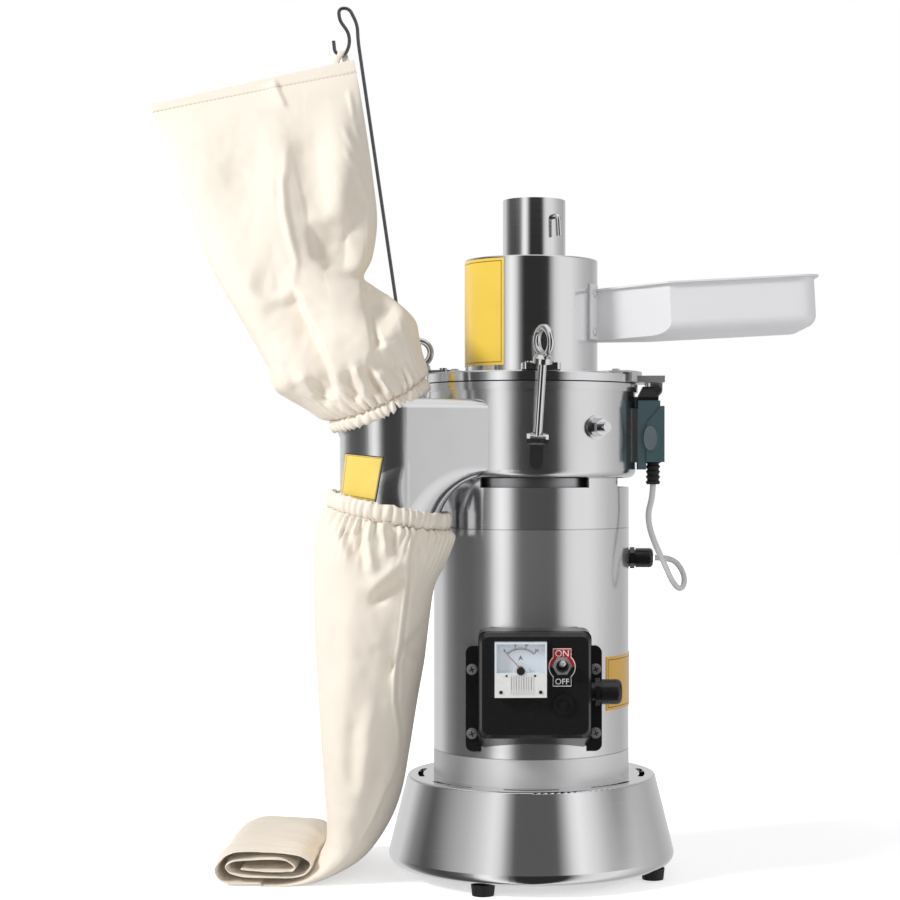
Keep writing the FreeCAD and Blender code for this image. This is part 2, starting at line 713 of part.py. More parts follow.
def hinge_lug():
    y0, y1 = KNUCKLE_Y
    eye = along(cyl(4.9, 0, y1 - y0), V(HINGE_X, y0, HINGE_Z), V(0, 1, 0))
    arm = box(84, 101, y0, y1, 368, 409)
    outline = [(99, 384), (99, 417), (HINGE_X, HINGE_Z + 4.7), (HINGE_X + 4.6, HINGE_Z - 1.5), (99, 384)]
    slope = Part.Face(Part.makePolygon([V(x, y0, z) for x, z in outline]))
    lug = fuse(arm, eye, slope.extrude(V(0, y1 - y0, 0)))
    lug = lug.cut(cyl(POT_R, 300, FLANGE_Z0)).cut(cyl(FLANGE_R + 0.4, FLANGE_Z0, 440))
    return lug.cut(bar(V(HINGE_X, y0 - 1, HINGE_Z), V(HINGE_X, y1 + 1, HINGE_Z), HINGE_PIN_R))


def hinge_pin():
    y0, y1 = KNUCKLE_Y[0] - CHEEK - 0.6, KNUCKLE_Y[1] + CHEEK + 0.6
    pin = bar(V(HINGE_X, y0 - 3, HINGE_Z), V(HINGE_X, y1 + 3, HINGE_Z), HINGE_PIN_R)
    head = along(hexagon(8, 0, 3), V(HINGE_X, y0, HINGE_Z), V(0, -1, 0))
    nut = along(hexagon(8, 0, 3), V(HINGE_X, y1, HINGE_Z), V(0, 1, 0))
    return fuse(pin, head, nut)


def hinge_leaf():
    """Bent plate on the lid: a tongue on top, a shelf over the switch and two cheeks."""
    y0, y1 = KNUCKLE_Y
    right = HINGE_X + 5.5
    shelf = box(86, right, SWITCH_Y[0] + 1, y1 + CHEEK + 0.3, 420.3, 425.8)
    tongue = sector(68, 95.5, LID_Z1, LID_Z1 + 1.6, -7, 50)
    riser = sector(FLANGE_R, 95.5, 420.3, LID_Z1 + 1.6, -5, 44)
    leaf = fuse(shelf, riser).cut(cyl(FLANGE_R, 400, LID_Z1))
    leaf = fuse(leaf, tongue)
    for a, b in ((y0 - CHEEK - 0.3, y0 - 0.3), (y1 + 0.3, y1 + CHEEK + 0.3)):
        disc = along(cyl(5.5, 0, b - a), V(HINGE_X, a, HINGE_Z), V(0, 1, 0))
        cheek = fuse(disc, box(HINGE_X - 5.5, right, a, b, HINGE_Z, 421))
        leaf = fuse(leaf, cheek)
    leaf = leaf.cut(bar(V(HINGE_X, -40, HINGE_Z), V(HINGE_X, 60, HINGE_Z), HINGE_PIN_R + 0.05))
    heads = [cyl(3.2, LID_Z1 + 1.6, LID_Z1 + 3.8, x, y) for x, y in ((72, -28), (82, 11))]
    return Part.makeCompound([leaf] + heads)


def limit_switch():
    (x0, x1), (y0, y1), (z0, z1) = SWITCH_X, SWITCH_Y, SWITCH_Z
    case = box(x0, x0 + 7, y0, y1, z0, z1).fuse(box(x0 + 7, x1 - 3.5, y0, y1, BOOT_TOP, z1))
    front = y0 - 1.6
    outline = [(x0 + 7, BOOT_TOP), (x1, BOOT_TOP), (x1, 400), (x1 - 3, 400), (x0 + 7, 385), (x0 + 7, BOOT_TOP)]
    cover = Part.Face(Part.makePolygon([V(x, front, z) for x, z in outline])).extrude(V(0, y1 - front, 0))
    badge = along(cyl(6, 0, 1), V(x0 + 14, front, 371), V(0, -1, 0))
    shaped = FreeCAD.Matrix()
    shaped.scale(V(1, 1, 1.7))
    badge.translate(V(0, 0, -371))
    badge = badge.transformGeometry(shaped)
    badge.translate(V(0, 0, 371))
    return fuse(case, cover, badge.common(box(x0 + 8, x1 - 1, front - 0.8, front + 0.2, 300, 400)))


def switch_head():
    (x0, x1), (y0, y1), z = SWITCH_X, SWITCH_Y, SWITCH_Z[1]
    low = [V(x0, y0 + 2, z), V(x0 + 17.5, y0 + 2, z), V(x0 + 17.5, y1 - 2, z), V(x0, y1 - 2, z)]
    high = [V(x0 + 4.5, y0 + 6, z + 12), V(x0 + 13, y0 + 6, z + 12), V(x0 + 13, y1 - 6, z + 12),
            V(x0 + 4.5, y1 - 6, z + 12)]
    foot = Part.Face(Part.makePolygon(low + low[:1])).extrude(V(0, 0, 3))
    wires = [Part.makePolygon([p + V(0, 0, 3) for p in low + low[:1]]), Part.makePolygon(high + high[:1])]
    head = fuse(foot, Part.makeLoft(wires, True, True))
    x, y = plunger_place()
    return head.cut(cyl(2.55, z - 1, z + 20, x, y))


def plunger_place():
    return SWITCH_X[0] + 8.7, (SWITCH_Y[0] + SWITCH_Y[1]) / 2


def switch_plunger():
    x, y = plunger_place()
    return cyl(2.5, SWITCH_Z[1] + 3, 420, x, y)


def boot_place():
    return SWITCH_X[0] + 13.4, (SWITCH_Y[0] + SWITCH_Y[1]) / 2


def switch_boot():
    x, y = boot_place()
    profile = [(CABLE_R, 333.4), (5.4, 333.4)]
    for k in range(4):
        z = 333.4 + 4.4 * k
        profile += [(6.2, z + 2.2), (5.0, z + 3.3), (5.0, z + 4.4)]
    profile += [(6.8, BOOT_TOP - 0.4), (6.8, BOOT_TOP), (CABLE_R, BOOT_TOP)]
    return moved(spin(profile), x, y)


def switch_cable():
    """The cable from the switch's boot, looping down in front and back into the barrel's gland."""
    x, y = boot_place()
    points = [V(x, y, 333.4), V(x - 0.5, y, 322), V(x - 4.5, y - 1.5, 309), V(x - 3, y - 4.5, 295),
              V(x + 2, y - 8.5, 281), V(x + 9, y - 11.5, 266), V(x + 15, y - 10.5, 252),
              V(x + 22, y - 1.5, 243.5), V(x + 27.5, y + 9.5, 246), V(x + 28, y + 17.5, 256),
              V(x + 21, y + 20.5, 267), V(x + 11, y + 20.5, GLAND_Z), V(x + 3, y + 20.5, GLAND_Z)]
    return bent_rod(points, free_radii(points), CABLE_R)


def gland(bore_r, nut_r, length):
    """Cable gland along Z from the wall: collar, hexagon and domed nut, with a hole for the cable."""
    collar = hexagon(nut_r * 1.9, 0, 4)
    dome = cyl(nut_r, 5, length)
    dome = round_rings(dome, [(nut_r, length, nut_r * 0.4)])
    body = fuse(collar, cyl(nut_r * 0.85, 3, 6), dome)
    return body.cut(cyl(bore_r, -20, length + 1))


def barrel_gland():
    body = gland(CABLE_R, 8.4, 20)
    shank = ring(5, CABLE_R, -8, 0)
    pad = ring(7.6, CABLE_R, -2, 0)
    placed = along(fuse(body, pad, shank), V(BARREL_R + 1, 0, GLAND_Z), V(1, 0, 0))
    through = bar(V(60, 0, GLAND_Z), V(95, 0, GLAND_Z), 5)
    return placed.cut(cyl(BARREL_R, 200, 330).cut(through))


# control box


def box_frame(shape):
    """From the box's own frame (x across, y out towards the front, z up) to the machine's."""
    flipped = turned(shape, V(0, 0, 0), V(0, 0, 1), 180)
    return about_z(flipped, BOX_TURN)


def control_box():
    """Moulded cover: bevelled front, drafted sides and a skirt cut to the barrel's curve."""
    z0, z1 = BOX_Z
    middle = (z0 + z1) / 2
    half_h = (z1 - z0) / 2
    steps = [(BOX_FRONT, 0.0, 0.0, 6.0), (BOX_FRONT - 4, 2.0, 3.5, 7.0), (BOX_FRONT - 32, 3.0, 5.0, 7.0)]
    wires = []
    for y, grow_w, grow_h, corner in steps:
        wires.append(rounded_wire(V(0, y, middle), V(1, 0, 0), V(0, 0, 1), BOX_HALF_W + grow_w,
                                  half_h + grow_h, corner))
    shell = Part.makeLoft(wires[:2], True, True).fuse(Part.makeLoft(wires[1:], True, True))
    skirt_wires = [rounded_wire(V(0, y, middle - drop), V(1, 0, 0), V(0, 0, 1), BOX_HALF_W + 2.8,
                                half_h + 4 + drop, 6.0) for y, drop in ((104.0, 0.0), (66.0, 7.0))]
    skirt = Part.makeLoft(skirt_wires, True, True)
    wings = box(-WING_HALF_W, WING_HALF_W, 58, WING_Y, 112.5, 200)
    wings = wings.makeFillet(6, [e for e in wings.Edges if abs(e.Length - WING_Y + 58) < 1e-6])
    body = shell.fuse([skirt, wings])
    body = body.cut(cyl(BARREL_R, 80, 260))
    body = body.cut(box(-BOX_HALF_W + 1, BOX_HALF_W - 1, 60, BOX_FRONT - 3, z0 + 2, z1 - 2))
    for tool in panel_cutouts() + unframed_shanks():
        body = body.cut(tool)
    return box_frame(mirrored(body.removeSplitter()))


def mirrored(shape):
    """The box is drawn as seen from outside, so its x runs to the viewer's right."""
    return shape.mirror(V(0, 0, 0), V(1, 0, 0))


def panel_bar(at, r, y0, y1):
    x, z = at
    return bar(V(x, y0, z), V(x, y1, z), r)


def panel_cutouts():
    (x0, x1), (z0, z1) = METER_X, METER_Z
    y, z = BOX_GLAND_AT
    return [box(x0 + 3, x1 - 3, 100, 120, z0 + 3, z1 - 3), panel_bar(TOGGLE_AT, 6, 100, 120),
            panel_bar(RESET_AT, 6, 100, 120), bar(V(30, y, z), V(60, y, z), 8)]


def unframed_shanks():
    return [bar(V(x, 55, z), V(x, 90, z), 2.2) for x, z in SCREWS_AT]


def box_screw_shanks():
    return [box_frame(mirrored(bar(V(x, 55, z), V(x, 72, z), 2.2))) for x, z in SCREWS_AT]


def box_screws():
    screws = []
    for x, z in SCREWS_AT:
        washer = bar(V(x, WING_Y, z), V(x, WING_Y + 1.2, z), 4.6)
        head = bar(V(x, WING_Y + 1.2, z), V(x, WING_Y + 4.4, z), 3.4)
        shank = bar(V(x, 66, z), V(x, WING_Y, z), 2.2)
        screws.append(box_frame(mirrored(fuse(washer, head, shank))))
    return Part.makeCompound(screws)


def meter_case():
    """White moulded meter: a rim, the dial behind the window and the ribbed lower cover."""
    (x0, x1), (z0, z1) = METER_X, METER_Z
    y = BOX_FRONT
    frame = box(x0, x1, y, y + 8, z0, z1).cut(box(x0 + 1.5, x1 - 1.5, y + 1.5, y + 9, z0 + 20, z1 - 1.5))
    back = box(x0 + 3, x1 - 3, y - 9, y, z0 + 3, z1 - 3)
    mid = (x0 + x1) / 2
    plinth = panel_bar((mid, z0 + 20), 7, y + 1.5, y + 4.8)
    plinth = plinth.common(box(mid - 9, mid + 9, y, y + 8, z0 + 19, z0 + 30))
    case = fuse(frame, back, plinth)
    ribs = [box(mid - 9 + 2 * k, mid - 8 + 2 * k, y + 8, y + 8.5, z0 + 3, z0 + 18.5) for k in range(10)]
    case = fuse(case, *ribs)
    return box_frame(mirrored(case.cut(panel_bar((mid, z0 + 23), 1.0, y + 1, y + 9)).fuse(
        panel_bar((mid, z0 + 23), 0.95, y, y + 5.6))))


def meter_window():
    (x0, x1), (z0, z1) = METER_X, METER_Z
    y = BOX_FRONT
    return box_frame(mirrored(box(x0 + 1.5, x1 - 1.5, y + 6.6, y + 8, z0 + 20, z1 - 1.5)))


def needle_pivot():
    (x0, x1), (z0, z1) = METER_X, METER_Z
    return (x0 + x1) / 2, z0 + 23


def meter_needle():
    """Pointer of the meter, resting at the left end of its scale."""
    x, z = needle_pivot()
    y = BOX_FRONT + 5.0
    hub = panel_bar((x, z), 2.2, y, y + 0.8)
    hand = box(x - 0.35, x + 0.35, y, y + 0.8, z, z + 16)
    needle = fuse(hub, hand)
    needle = turned(needle, V(x, y, z), V(0, 1, 0), -NEEDLE_REST)
    return box_frame(mirrored(needle.cut(panel_bar((x, z), 1.0, y - 1, y + 3))))


def toggle_plate():
    y0, y1 = BOX_FRONT, BOX_FRONT + 0.8
    x, z = TOGGLE_AT
    plate = fuse(box(x - 7.6, x + 7.6, y0, y1, z - 17, z + 14.2), panel_bar((x, z - 1), 11.2, y0, y1))
    return box_frame(mirrored(plate.cut(panel_bar(TOGGLE_AT, 6, y0 - 1, y1 + 1))))


def toggle_bushing():
    y = BOX_FRONT
    x, z = TOGGLE_AT
    body = box(x - 8, x + 8, y - 24, y - 3.2, z - 10, z + 10)
    stem = panel_bar(TOGGLE_AT, 5.9, y - 4, y + 7.5)
    nut = along(hexagon(14, 0, 2.4), V(x, y + 0.8, z), V(0, 1, 0))
    whole = fuse(body, stem, nut)
    whole = whole.cut(Part.makeCone(2.6, 5.2, 14, V(x, y - 6.4, z), V(0, 1, 0)))
    return box_frame(mirrored(whole))


def toggle_pivot():
    return TOGGLE_AT[0], BOX_FRONT - 2.0, TOGGLE_AT[1]


def toggle_lever():
    """Bat lever, resting tipped up to ON."""
    x, y, z = toggle_pivot()
    lever = fuse(Part.makeCone(1.9, 2.6, 20, V(x, y - 3, z), V(0, 1, 0)), Part.makeSphere(2.6, V(x, y + 17, z)))
    lever = turned(lever, V(x, y, z), V(1, 0, 0), TOGGLE_REST)
    return box_frame(mirrored(lever))


def breaker_collar():
    y = BOX_FRONT
    flange = panel_bar(RESET_AT, 8.5, y, y + 2.2)
    stem = panel_bar(RESET_AT, 6, y - 18, y)
    return box_frame(mirrored(fuse(flange, stem).cut(panel_bar(RESET_AT, 3.6, y - 12, y + 3))))


def reset_button():
    y = BOX_FRONT
    return box_frame(mirrored(panel_bar(RESET_AT, 3.5, y - 8, y + 4.6)))


def box_gland():
    y, z = BOX_GLAND_AT
    placed = along(fuse(gland(5, 10.3, 22), ring(8, 5, -8, 0)), V(BOX_HALF_W + 6.5, y, z), V(1, 0, 0))
    wall = control_side_block()
    return box_frame(mirrored(placed.cut(wall)))


def control_side_block():
    """Everything inside the box's right wall plane, with the gland's hole left open."""
    y, z = BOX_GLAND_AT
    return box(30, BOX_HALF_W + 6.5, 50, 120, 100, 240).cut(bar(V(20, y, z), V(60, y, z), 8))


def nameplates():
    """The bare plate on the barrel."""
    return sector(BARREL_R, BARREL_R + 0.4, 144, 189, -20, 44)


# hook rod and dust bags


def hook_line():
    a = math.radians(HOOK_LEAN)
    axis = V(-math.sin(a), 0, math.cos(a))
    foot = V(-101.5, 8, 382)
    return axis, foot, foot + axis * 340


def hook_rod():
    axis, foot, top = hook_line()
    side = V(axis.z, 0, -axis.x)

    def at(up, across, back=0.0):
        return top + axis * up + side * across + V(0, back, 0)
    points = [foot, at(0, 0), at(14, 1.5), at(29, -3.5), at(30.5, -12.5), at(20.5, -13.5), at(8, -7),
              at(-2, -7.5), at(-11, -13), at(-8, -21.5), at(3, -21)]
    return bent_rod(points, free_radii(points), HOOK_R)


def oval(centre, half_x, half_y, tilt_z=0.0):
    """A flat oval wire across a bag, tipped about the Y axis."""
    ellipse = Part.Ellipse(V(0, 0, 0), max(half_x, half_y), min(half_x, half_y))
    wire = Part.Wire(ellipse.toShape())
    if half_y > half_x:
        wire.rotate(V(0, 0, 0), V(0, 0, 1), 90)
    wire.rotate(V(0, 0, 0), V(0, 1, 0), tilt_z)
    wire.translate(centre)
    return wire


def upper_bag():
    """Closed form of the hanging bag, with a pocket for the collar."""
    up = collar_up()
    mouth = KNEE + up * 27
    stations = [(mouth, COLLAR_R + 3.4, COLLAR_R + 3.4, -COLLAR_LEAN),
                (mouth + up * 24 + V(-8, 0, 2), 53, 49, -30),
                (V(-181, PIPE_Y + 8, 470), 68, 47, -30),
                (V(-215, -42, 560), 81, 33, -25),
                (V(-243, -16, 640), 90, 14, -19),
                (V(-256, -4, 686), 90, 5, -15)]
    bag = Part.makeLoft([oval(*s) for s in stations], True, False)
    pocket = Part.makeCylinder(COLLAR_R, COLLAR_LENGTH, KNEE, up)
    guard = cyl(FLANGE_R + 2.2, 380, 700)
    axis, foot, top = hook_line()
    return bag.cut(pocket).cut(guard).cut(duct(0)).cut(Part.makeCylinder(HOOK_R + 1, 400, foot, axis))


def lower_bag():
    """Closed form of the bag on the downward pipe, lying rolled at its end on the floor."""
    stations = [(V(PIPE_X, PIPE_Y, 316), PIPE_R + 8, PIPE_R + 6, 9.0),
                (V(PIPE_X - 2, PIPE_Y, 282), 51, 51, 6.0),
                (V(-134, PIPE_Y + 6, 200), 50, 62, 0.0),
                (V(-146, -36, 110), 36, 76, 0.0),
                (V(-156, 6, 42), 20, 84, 0.0),
                (V(-158, 12, 0), 24, 84, 0.0)]
    drop = Part.makeLoft([oval(*s) for s in stations], True, False)
    roll = box(-264, -160, -69, 96, 0, 31)
    roll = roll.makeFillet(15, [e for e in roll.Edges if abs(e.Length - 165) < 1e-6])
    bag = drop.fuse(roll).cut(box(-300, 0, -200, 200, -20, 0))
    bag = bag.cut(cyl(BASE_R + 1.5, -5, 120)).cut(cyl(BARREL_R + 1.5, 60, 340))
    return bag.cut(duct(0))


NODES = {
    "rubber_feet": rubber_feet,
    "base_skirt": base_skirt,
    "run_capacitor": run_capacitor,
    "barrel": barrel,
    "lower_bearing_bracket": lower_bearing_bracket,
    "upper_bearing_bracket": upper_bearing_bracket,
    "ball_bearings": ball_bearings,
    "stator_core": stator_core,
    "stator_windings": stator_windings,
    "motor_shaft": motor_shaft,
    "cooling_fan": cooling_fan,
    "shaft_seal": shaft_seal,
    "chamber": chamber,
    "lid_gasket": lid_gasket,
    "toothed_liner": toothed_liner,
    "sieve_ring": sieve_ring,
    "hammer_carrier": hammer_carrier,
    "lid": lid,
    "neck": neck,
    "neck_label": neck_label,
    "feed_sleeve": feed_sleeve,
    "tray": tray,
    "tray_screws": tray_screws,
    "clamp_lugs": clamp_lugs,
    "clamp_pins": clamp_pins,
    "clamp_ears": clamp_ears,
    "chamber_stud": chamber_stud,
    "hinge_lug": hinge_lug,
    "hinge_pin": hinge_pin,
    "hinge_leaf": hinge_leaf,
    "limit_switch": limit_switch,
    "switch_head": switch_head,
    "switch_plunger": switch_plunger,
    "switch_boot": switch_boot,
    "switch_cable": switch_cable,
    "barrel_gland": barrel_gland,
    "control_box": control_box,
    "box_screws": box_screws,
    "box_gland": box_gland,
    "meter_case": meter_case,
    "meter_window": meter_window,
    "meter_needle": meter_needle,
    "toggle_plate": toggle_plate,
    "toggle_bushing": toggle_bushing,
    "toggle_lever": toggle_lever,
    "breaker_collar": breaker_collar,
    "reset_button": reset_button,
    "nameplates": nameplates,
    "hook_rod": hook_rod,
    "upper_bag": upper_bag,
    "lower_bag": lower_bag,
}


def main():
    os.makedirs("parts", exist_ok=True)
    shapes = {name: make() for name, make in NODES.items()}
    for k in range(4):
        shapes["hammer_%d" % (k + 1)] = hammer(k)
    for which in SWING_AT:
        shapes["swing_bolt_" + which] = swing_bolt(which)
        shapes["eye_nut_" + which] = eye_nut(which)
    for name, shape in shapes.items():
        shape.exportStep("parts/%s.step" % name)
        b = shape.BoundBox
        print("%-22s valid %s solids %d  x %.1f %.1f  y %.1f %.1f  z %.1f %.1f" % (
            name, shape.isValid(), len(shape.Solids), b.XMin, b.XMax, b.YMin, b.YMax, b.ZMin, b.ZMax))
    print("nodes", len(shapes))


main()
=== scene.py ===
import math

import bmesh
import bpy
import numpy as np
from mathutils import Matrix, Vector, noise
from mathutils.bvhtree import BVHTree


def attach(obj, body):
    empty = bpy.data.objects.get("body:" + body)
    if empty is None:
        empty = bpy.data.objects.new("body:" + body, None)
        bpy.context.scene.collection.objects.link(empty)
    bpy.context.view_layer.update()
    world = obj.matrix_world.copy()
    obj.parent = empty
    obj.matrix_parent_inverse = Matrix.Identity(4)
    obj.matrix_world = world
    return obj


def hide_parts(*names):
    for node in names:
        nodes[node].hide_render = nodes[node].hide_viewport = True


# Electric grain mill: the looks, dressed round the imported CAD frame.
# Metres, +Z up, -Y towards the camera and the control box. Lengths written as real
# millimetres are turned into metres by MM.

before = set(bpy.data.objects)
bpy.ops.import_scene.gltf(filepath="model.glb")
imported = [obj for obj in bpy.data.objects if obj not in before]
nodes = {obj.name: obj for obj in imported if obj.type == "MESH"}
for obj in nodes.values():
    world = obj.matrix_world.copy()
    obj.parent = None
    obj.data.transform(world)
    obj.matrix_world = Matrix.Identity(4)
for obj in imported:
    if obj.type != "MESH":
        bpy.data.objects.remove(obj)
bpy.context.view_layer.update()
MM = 0.001


def mm(*values):
    return Vector(values) * MM


def in_scene(name, data):
    """A new object, linked to the scene."""
    made = bpy.data.objects.new(name, data)
    bpy.context.scene.collection.objects.link(made)
    return made


# Camera, as the photograph was taken: level, aimed straight along Y, the frame shifted to the left

DISTANCE = 1730.0
EYE_Z = 349.0
LENS = 80.0
FRAME = 900
AXIS_PX = 531.3
HORIZON_PX = 466


def make_camera():
    data = bpy.data.cameras.new("camera")
    data.lens = LENS
    data.sensor_width = 36
    data.shift_x = (FRAME / 2 - AXIS_PX) / FRAME
    data.shift_y = (HORIZON_PX - FRAME / 2) / FRAME
    data.clip_start = 0.01
    data.clip_end = 50
    camera = in_scene("camera", data)
    camera.location = mm(0, -DISTANCE, EYE_Z)
    camera.rotation_euler = (math.radians(90), 0, 0)
    bpy.context.scene.camera = camera


# Shader maths as Python expressions


class Wire:
    """An output in a node tree. Sums written on it become Math nodes."""

    def __init__(self, tree, socket):
        self.tree = tree
        self.socket = socket

    def math(self, operation, *others):
        return self.tree.node("ShaderNodeMath", {"operation": operation}, [self, *others])

    def __add__(self, other):
        return self.math("ADD", other)

    def __sub__(self, other):
        return self.math("SUBTRACT", other)

    def __mul__(self, other):
        return self.math("MULTIPLY", other)

    def __truediv__(self, other):
        return self.math("DIVIDE", other)

    __radd__ = __add__
    __rmul__ = __mul__

    def __rsub__(self, other):
        return self.tree.node("ShaderNodeMath", {"operation": "SUBTRACT"}, [other, self])

    def __abs__(self):
        return self.math("ABSOLUTE")

    def above(self, edge):
        return self.math("GREATER_THAN", edge)

    def below(self, edge):
        return self.math("LESS_THAN", edge)

    def least(self, other):
        return self.math("MINIMUM", other)

    def most(self, other):
        return self.math("MAXIMUM", other)

    def sin(self):
        return self.math("SINE")


class Tree:
    """A node tree that is written as function calls."""

    def __init__(self, tree):
        self.tree = tree

    def node(self, kind, settings=None, values=(), output=0):
        made = self.tree.nodes.new(kind)
        for key, value in (settings or {}).items():
            if key == "stops":
                self.set_stops(made.color_ramp, value)
            else:
                setattr(made, key, value)
        pairs = values.items() if isinstance(values, dict) else enumerate(values)
        for key, value in pairs:
            if isinstance(value, Wire):
                self.tree.links.new(value.socket, made.inputs[key])
            else:
                made.inputs[key].default_value = value
        return Wire(self, made.outputs[output]) if made.outputs else None

    @staticmethod
    def set_stops(ramp, stops):
        while len(ramp.elements) < len(stops):
            ramp.elements.new(0.5)
        for element, (place, colour) in zip(ramp.elements, stops):
            element.position = place
            element.color = grey(colour) if isinstance(colour, float) else (*colour, 1)

    def ramp(self, value, stops):
        return self.node("ShaderNodeValToRGB", {"stops": stops}, [value])

    def mix(self, factor, first, second):
        """A colour between two colours."""
        values = {0: factor, 6: opaque(first), 7: opaque(second)}
        return self.node("ShaderNodeMix", {"data_type": "RGBA"}, values, output=2)

    def split(self, point):
        """The three parts of a vector."""
        return [self.node("ShaderNodeSeparateXYZ", {}, [point], output=k) for k in range(3)]

    def axes(self):
        """Object coordinates in metres."""
        return self.split(self.node("ShaderNodeTexCoord", output=3))

    def noise(self, scale, detail=3.0, stretch=(1, 1, 1), roughness=0.5):
        """Noise on object coordinates in metres, stretched."""
        point = self.node("ShaderNodeMapping", {}, {0: self.node("ShaderNodeTexCoord", output=3), 3: stretch})
        values = {"Vector": point, "Scale": scale, "Detail": detail, "Roughness": roughness}
        return self.node("ShaderNodeTexNoise", {}, values)

    def smooth_step(self, value, low, high):
        """0 below low, 1 above high, and a soft rise between them."""
        return self.node("ShaderNodeMapRange", {"interpolation_type": "SMOOTHSTEP"}, [value, low, high])

    def bump(self, height, depth, strength=1.0):
        values = {"Height": height, "Distance": depth, "Strength": strength}
        return self.node("ShaderNodeBump", {}, values)


def grey(value):
    return (value, value, value, 1)


def opaque(colour):
    if isinstance(colour, tuple) and len(colour) == 3:
        return (*colour, 1)
    return colour


class Finish(Tree):
    """A material with one Principled shader."""

    def __init__(self, name):
        self.material = bpy.data.materials.new(name)
        self.material.use_nodes = True
        super().__init__(self.material.node_tree)
        self.shader = self.tree.nodes["Principled BSDF"]

    def set(self, **values):
        for key, value in values.items():
            socket = self.shader.inputs[key.replace("_", " ")]
            if isinstance(value, Wire):
                self.tree.links.new(value.socket, socket)
            else:
                socket.default_value = opaque(value)
        return self


# Stage: a white room whose walls and dark flag the polished metal mirrors. Directions are
# degrees round the machine from the camera, to the viewer's right, with the brightness of the
# wall at eye level and higher up.

GLOW = 1.2
ROOM_LIGHT = 0.46
WALLS = [(-180, 0.74), (-132, 0.80), (-114, 0.30), (-98, 0.11), (-74, 0.07), (-58, 0.12), (-50, 0.32),
         (-43, 0.92), (-35, 1.20), (-27, 0.90), (-19, 0.22), (-13, 0.03), (29, 0.03), (35, 0.42),
         (42, 0.80), (52, 0.93), (72, 0.94), (88, 0.76), (104, 0.60), (128, 0.50), (180, 0.74)]
HIGH_WALLS = [(-180, 0.62), (-122, 0.40), (-98, 0.16), (-88, 0.26), (-72, 0.44), (-56, 0.60), (-45, 0.78),
              (-33, 1.04), (-26, 0.86), (-20, 0.40), (-14, 0.12), (22, 0.12), (28, 0.45), (35, 0.90),
              (42, 1.08), (56, 0.84), (68, 0.55), (80, 0.34), (92, 0.27), (122, 0.42), (180, 0.62)]


def make_world():
    world = bpy.data.worlds.new("studio")
    bpy.context.scene.world = world
    world.use_nodes = True
    tree = Tree(world.node_tree)
    tree.tree.nodes.clear()
    direction = tree.node("ShaderNodeTexCoord", output=0)
    x, y, z = tree.split(direction)
    turn = x.math("ARCTAN2", 0.0 - y) / (2 * math.pi) + 0.5
    low, high = [tree.ramp(turn, [((degrees + 180) / 360, light / GLOW) for degrees, light in walls])
                 for walls in (WALLS, HIGH_WALLS)]
    walls = tree.mix(tree.smooth_step(z, 0.12, 0.20), low, high)
    mirrored = tree.mix(tree.smooth_step(z, 0.66, 0.88), walls, grey(0.80))
    camera_ray = tree.node("ShaderNodeLightPath", output=0)
    glossy_ray = tree.node("ShaderNodeLightPath", output=3)
    through_ray = tree.node("ShaderNodeLightPath", output=6)
    colour = tree.mix(glossy_ray, grey(ROOM_LIGHT / GLOW), mirrored)
    colour = tree.mix(camera_ray.most(through_ray), colour, grey(1.0 / GLOW))
    background = tree.node("ShaderNodeBackground", {}, [colour, GLOW])
    tree.node("ShaderNodeOutputWorld", {}, [background])


def make_floor():
    mesh = bpy.data.meshes.new("floor")
    half = 6.0
    corners = [(-half, -half, 0), (half, -half, 0), (half, half, 0), (-half, half, 0)]
    mesh.from_pydata(corners, [], [(0, 1, 2, 3)])
    floor = in_scene("floor", mesh)
    floor.location.z = -0.0002
    finish = Finish("floor_white")
    x, y = finish.axes()[:2]
    fade = finish.smooth_step((x * x + y * y).math("SQRT"), 0.3, 1.0)
    camera_ray = finish.node("ShaderNodeLightPath", output=0)
    finish.set(Base_Color=(0.8, 0.8, 0.8), Roughness=0.9, Specular_IOR_Level=0.0,
               Emission_Color=camera_ray * (0.56 + 0.6 * fade), Emission_Strength=1.0)
    mesh.materials.append(finish.material)
    floor.visible_glossy = False


def add_lamp(name, at, target, size, power):
    data = bpy.data.lights.new(name, "AREA")
    data.shape = "DISK"
    data.size = size
    data.energy = power
    lamp = in_scene(name, data)
    lamp.location = at
    lamp.rotation_euler = (Vector(target) - Vector(at)).to_track_quat("-Z", "Y").to_euler()
    lamp.visible_glossy = False


def make_stage():
    make_camera()
    make_world()
    make_floor()
    add_lamp("key", (-2.15, -1.25, 1.70), (-0.15, 0, 0.42), 0.7, 56)
    add_lamp("fill", (1.8, -1.6, 1.1), (0.1, 0, 0.35), 1.6, 8)
    bpy.context.scene.view_settings.view_transform = "Standard"


# Finishes


def steel(name, tone, rough, streak=(7, 7, 500), metallic=1.0):
    """Stainless steel with fine tool lines; streak stretches the lines' noise."""
    finish = Finish(name)
    lines = finish.noise(1.0, 3, streak)
    clouds = finish.noise(14, 2)
    finish.set(Base_Color=finish.mix(clouds, tuple(0.96 * c for c in tone), tone), Metallic=metallic,
               Roughness=rough - 0.025 + 0.05 * lines + 0.03 * clouds,
               Normal=finish.bump(lines, 0.00002, 0.35))
    return finish.material


COLLAR_TOP = 0.1070
FILM_LINE = 0.2964


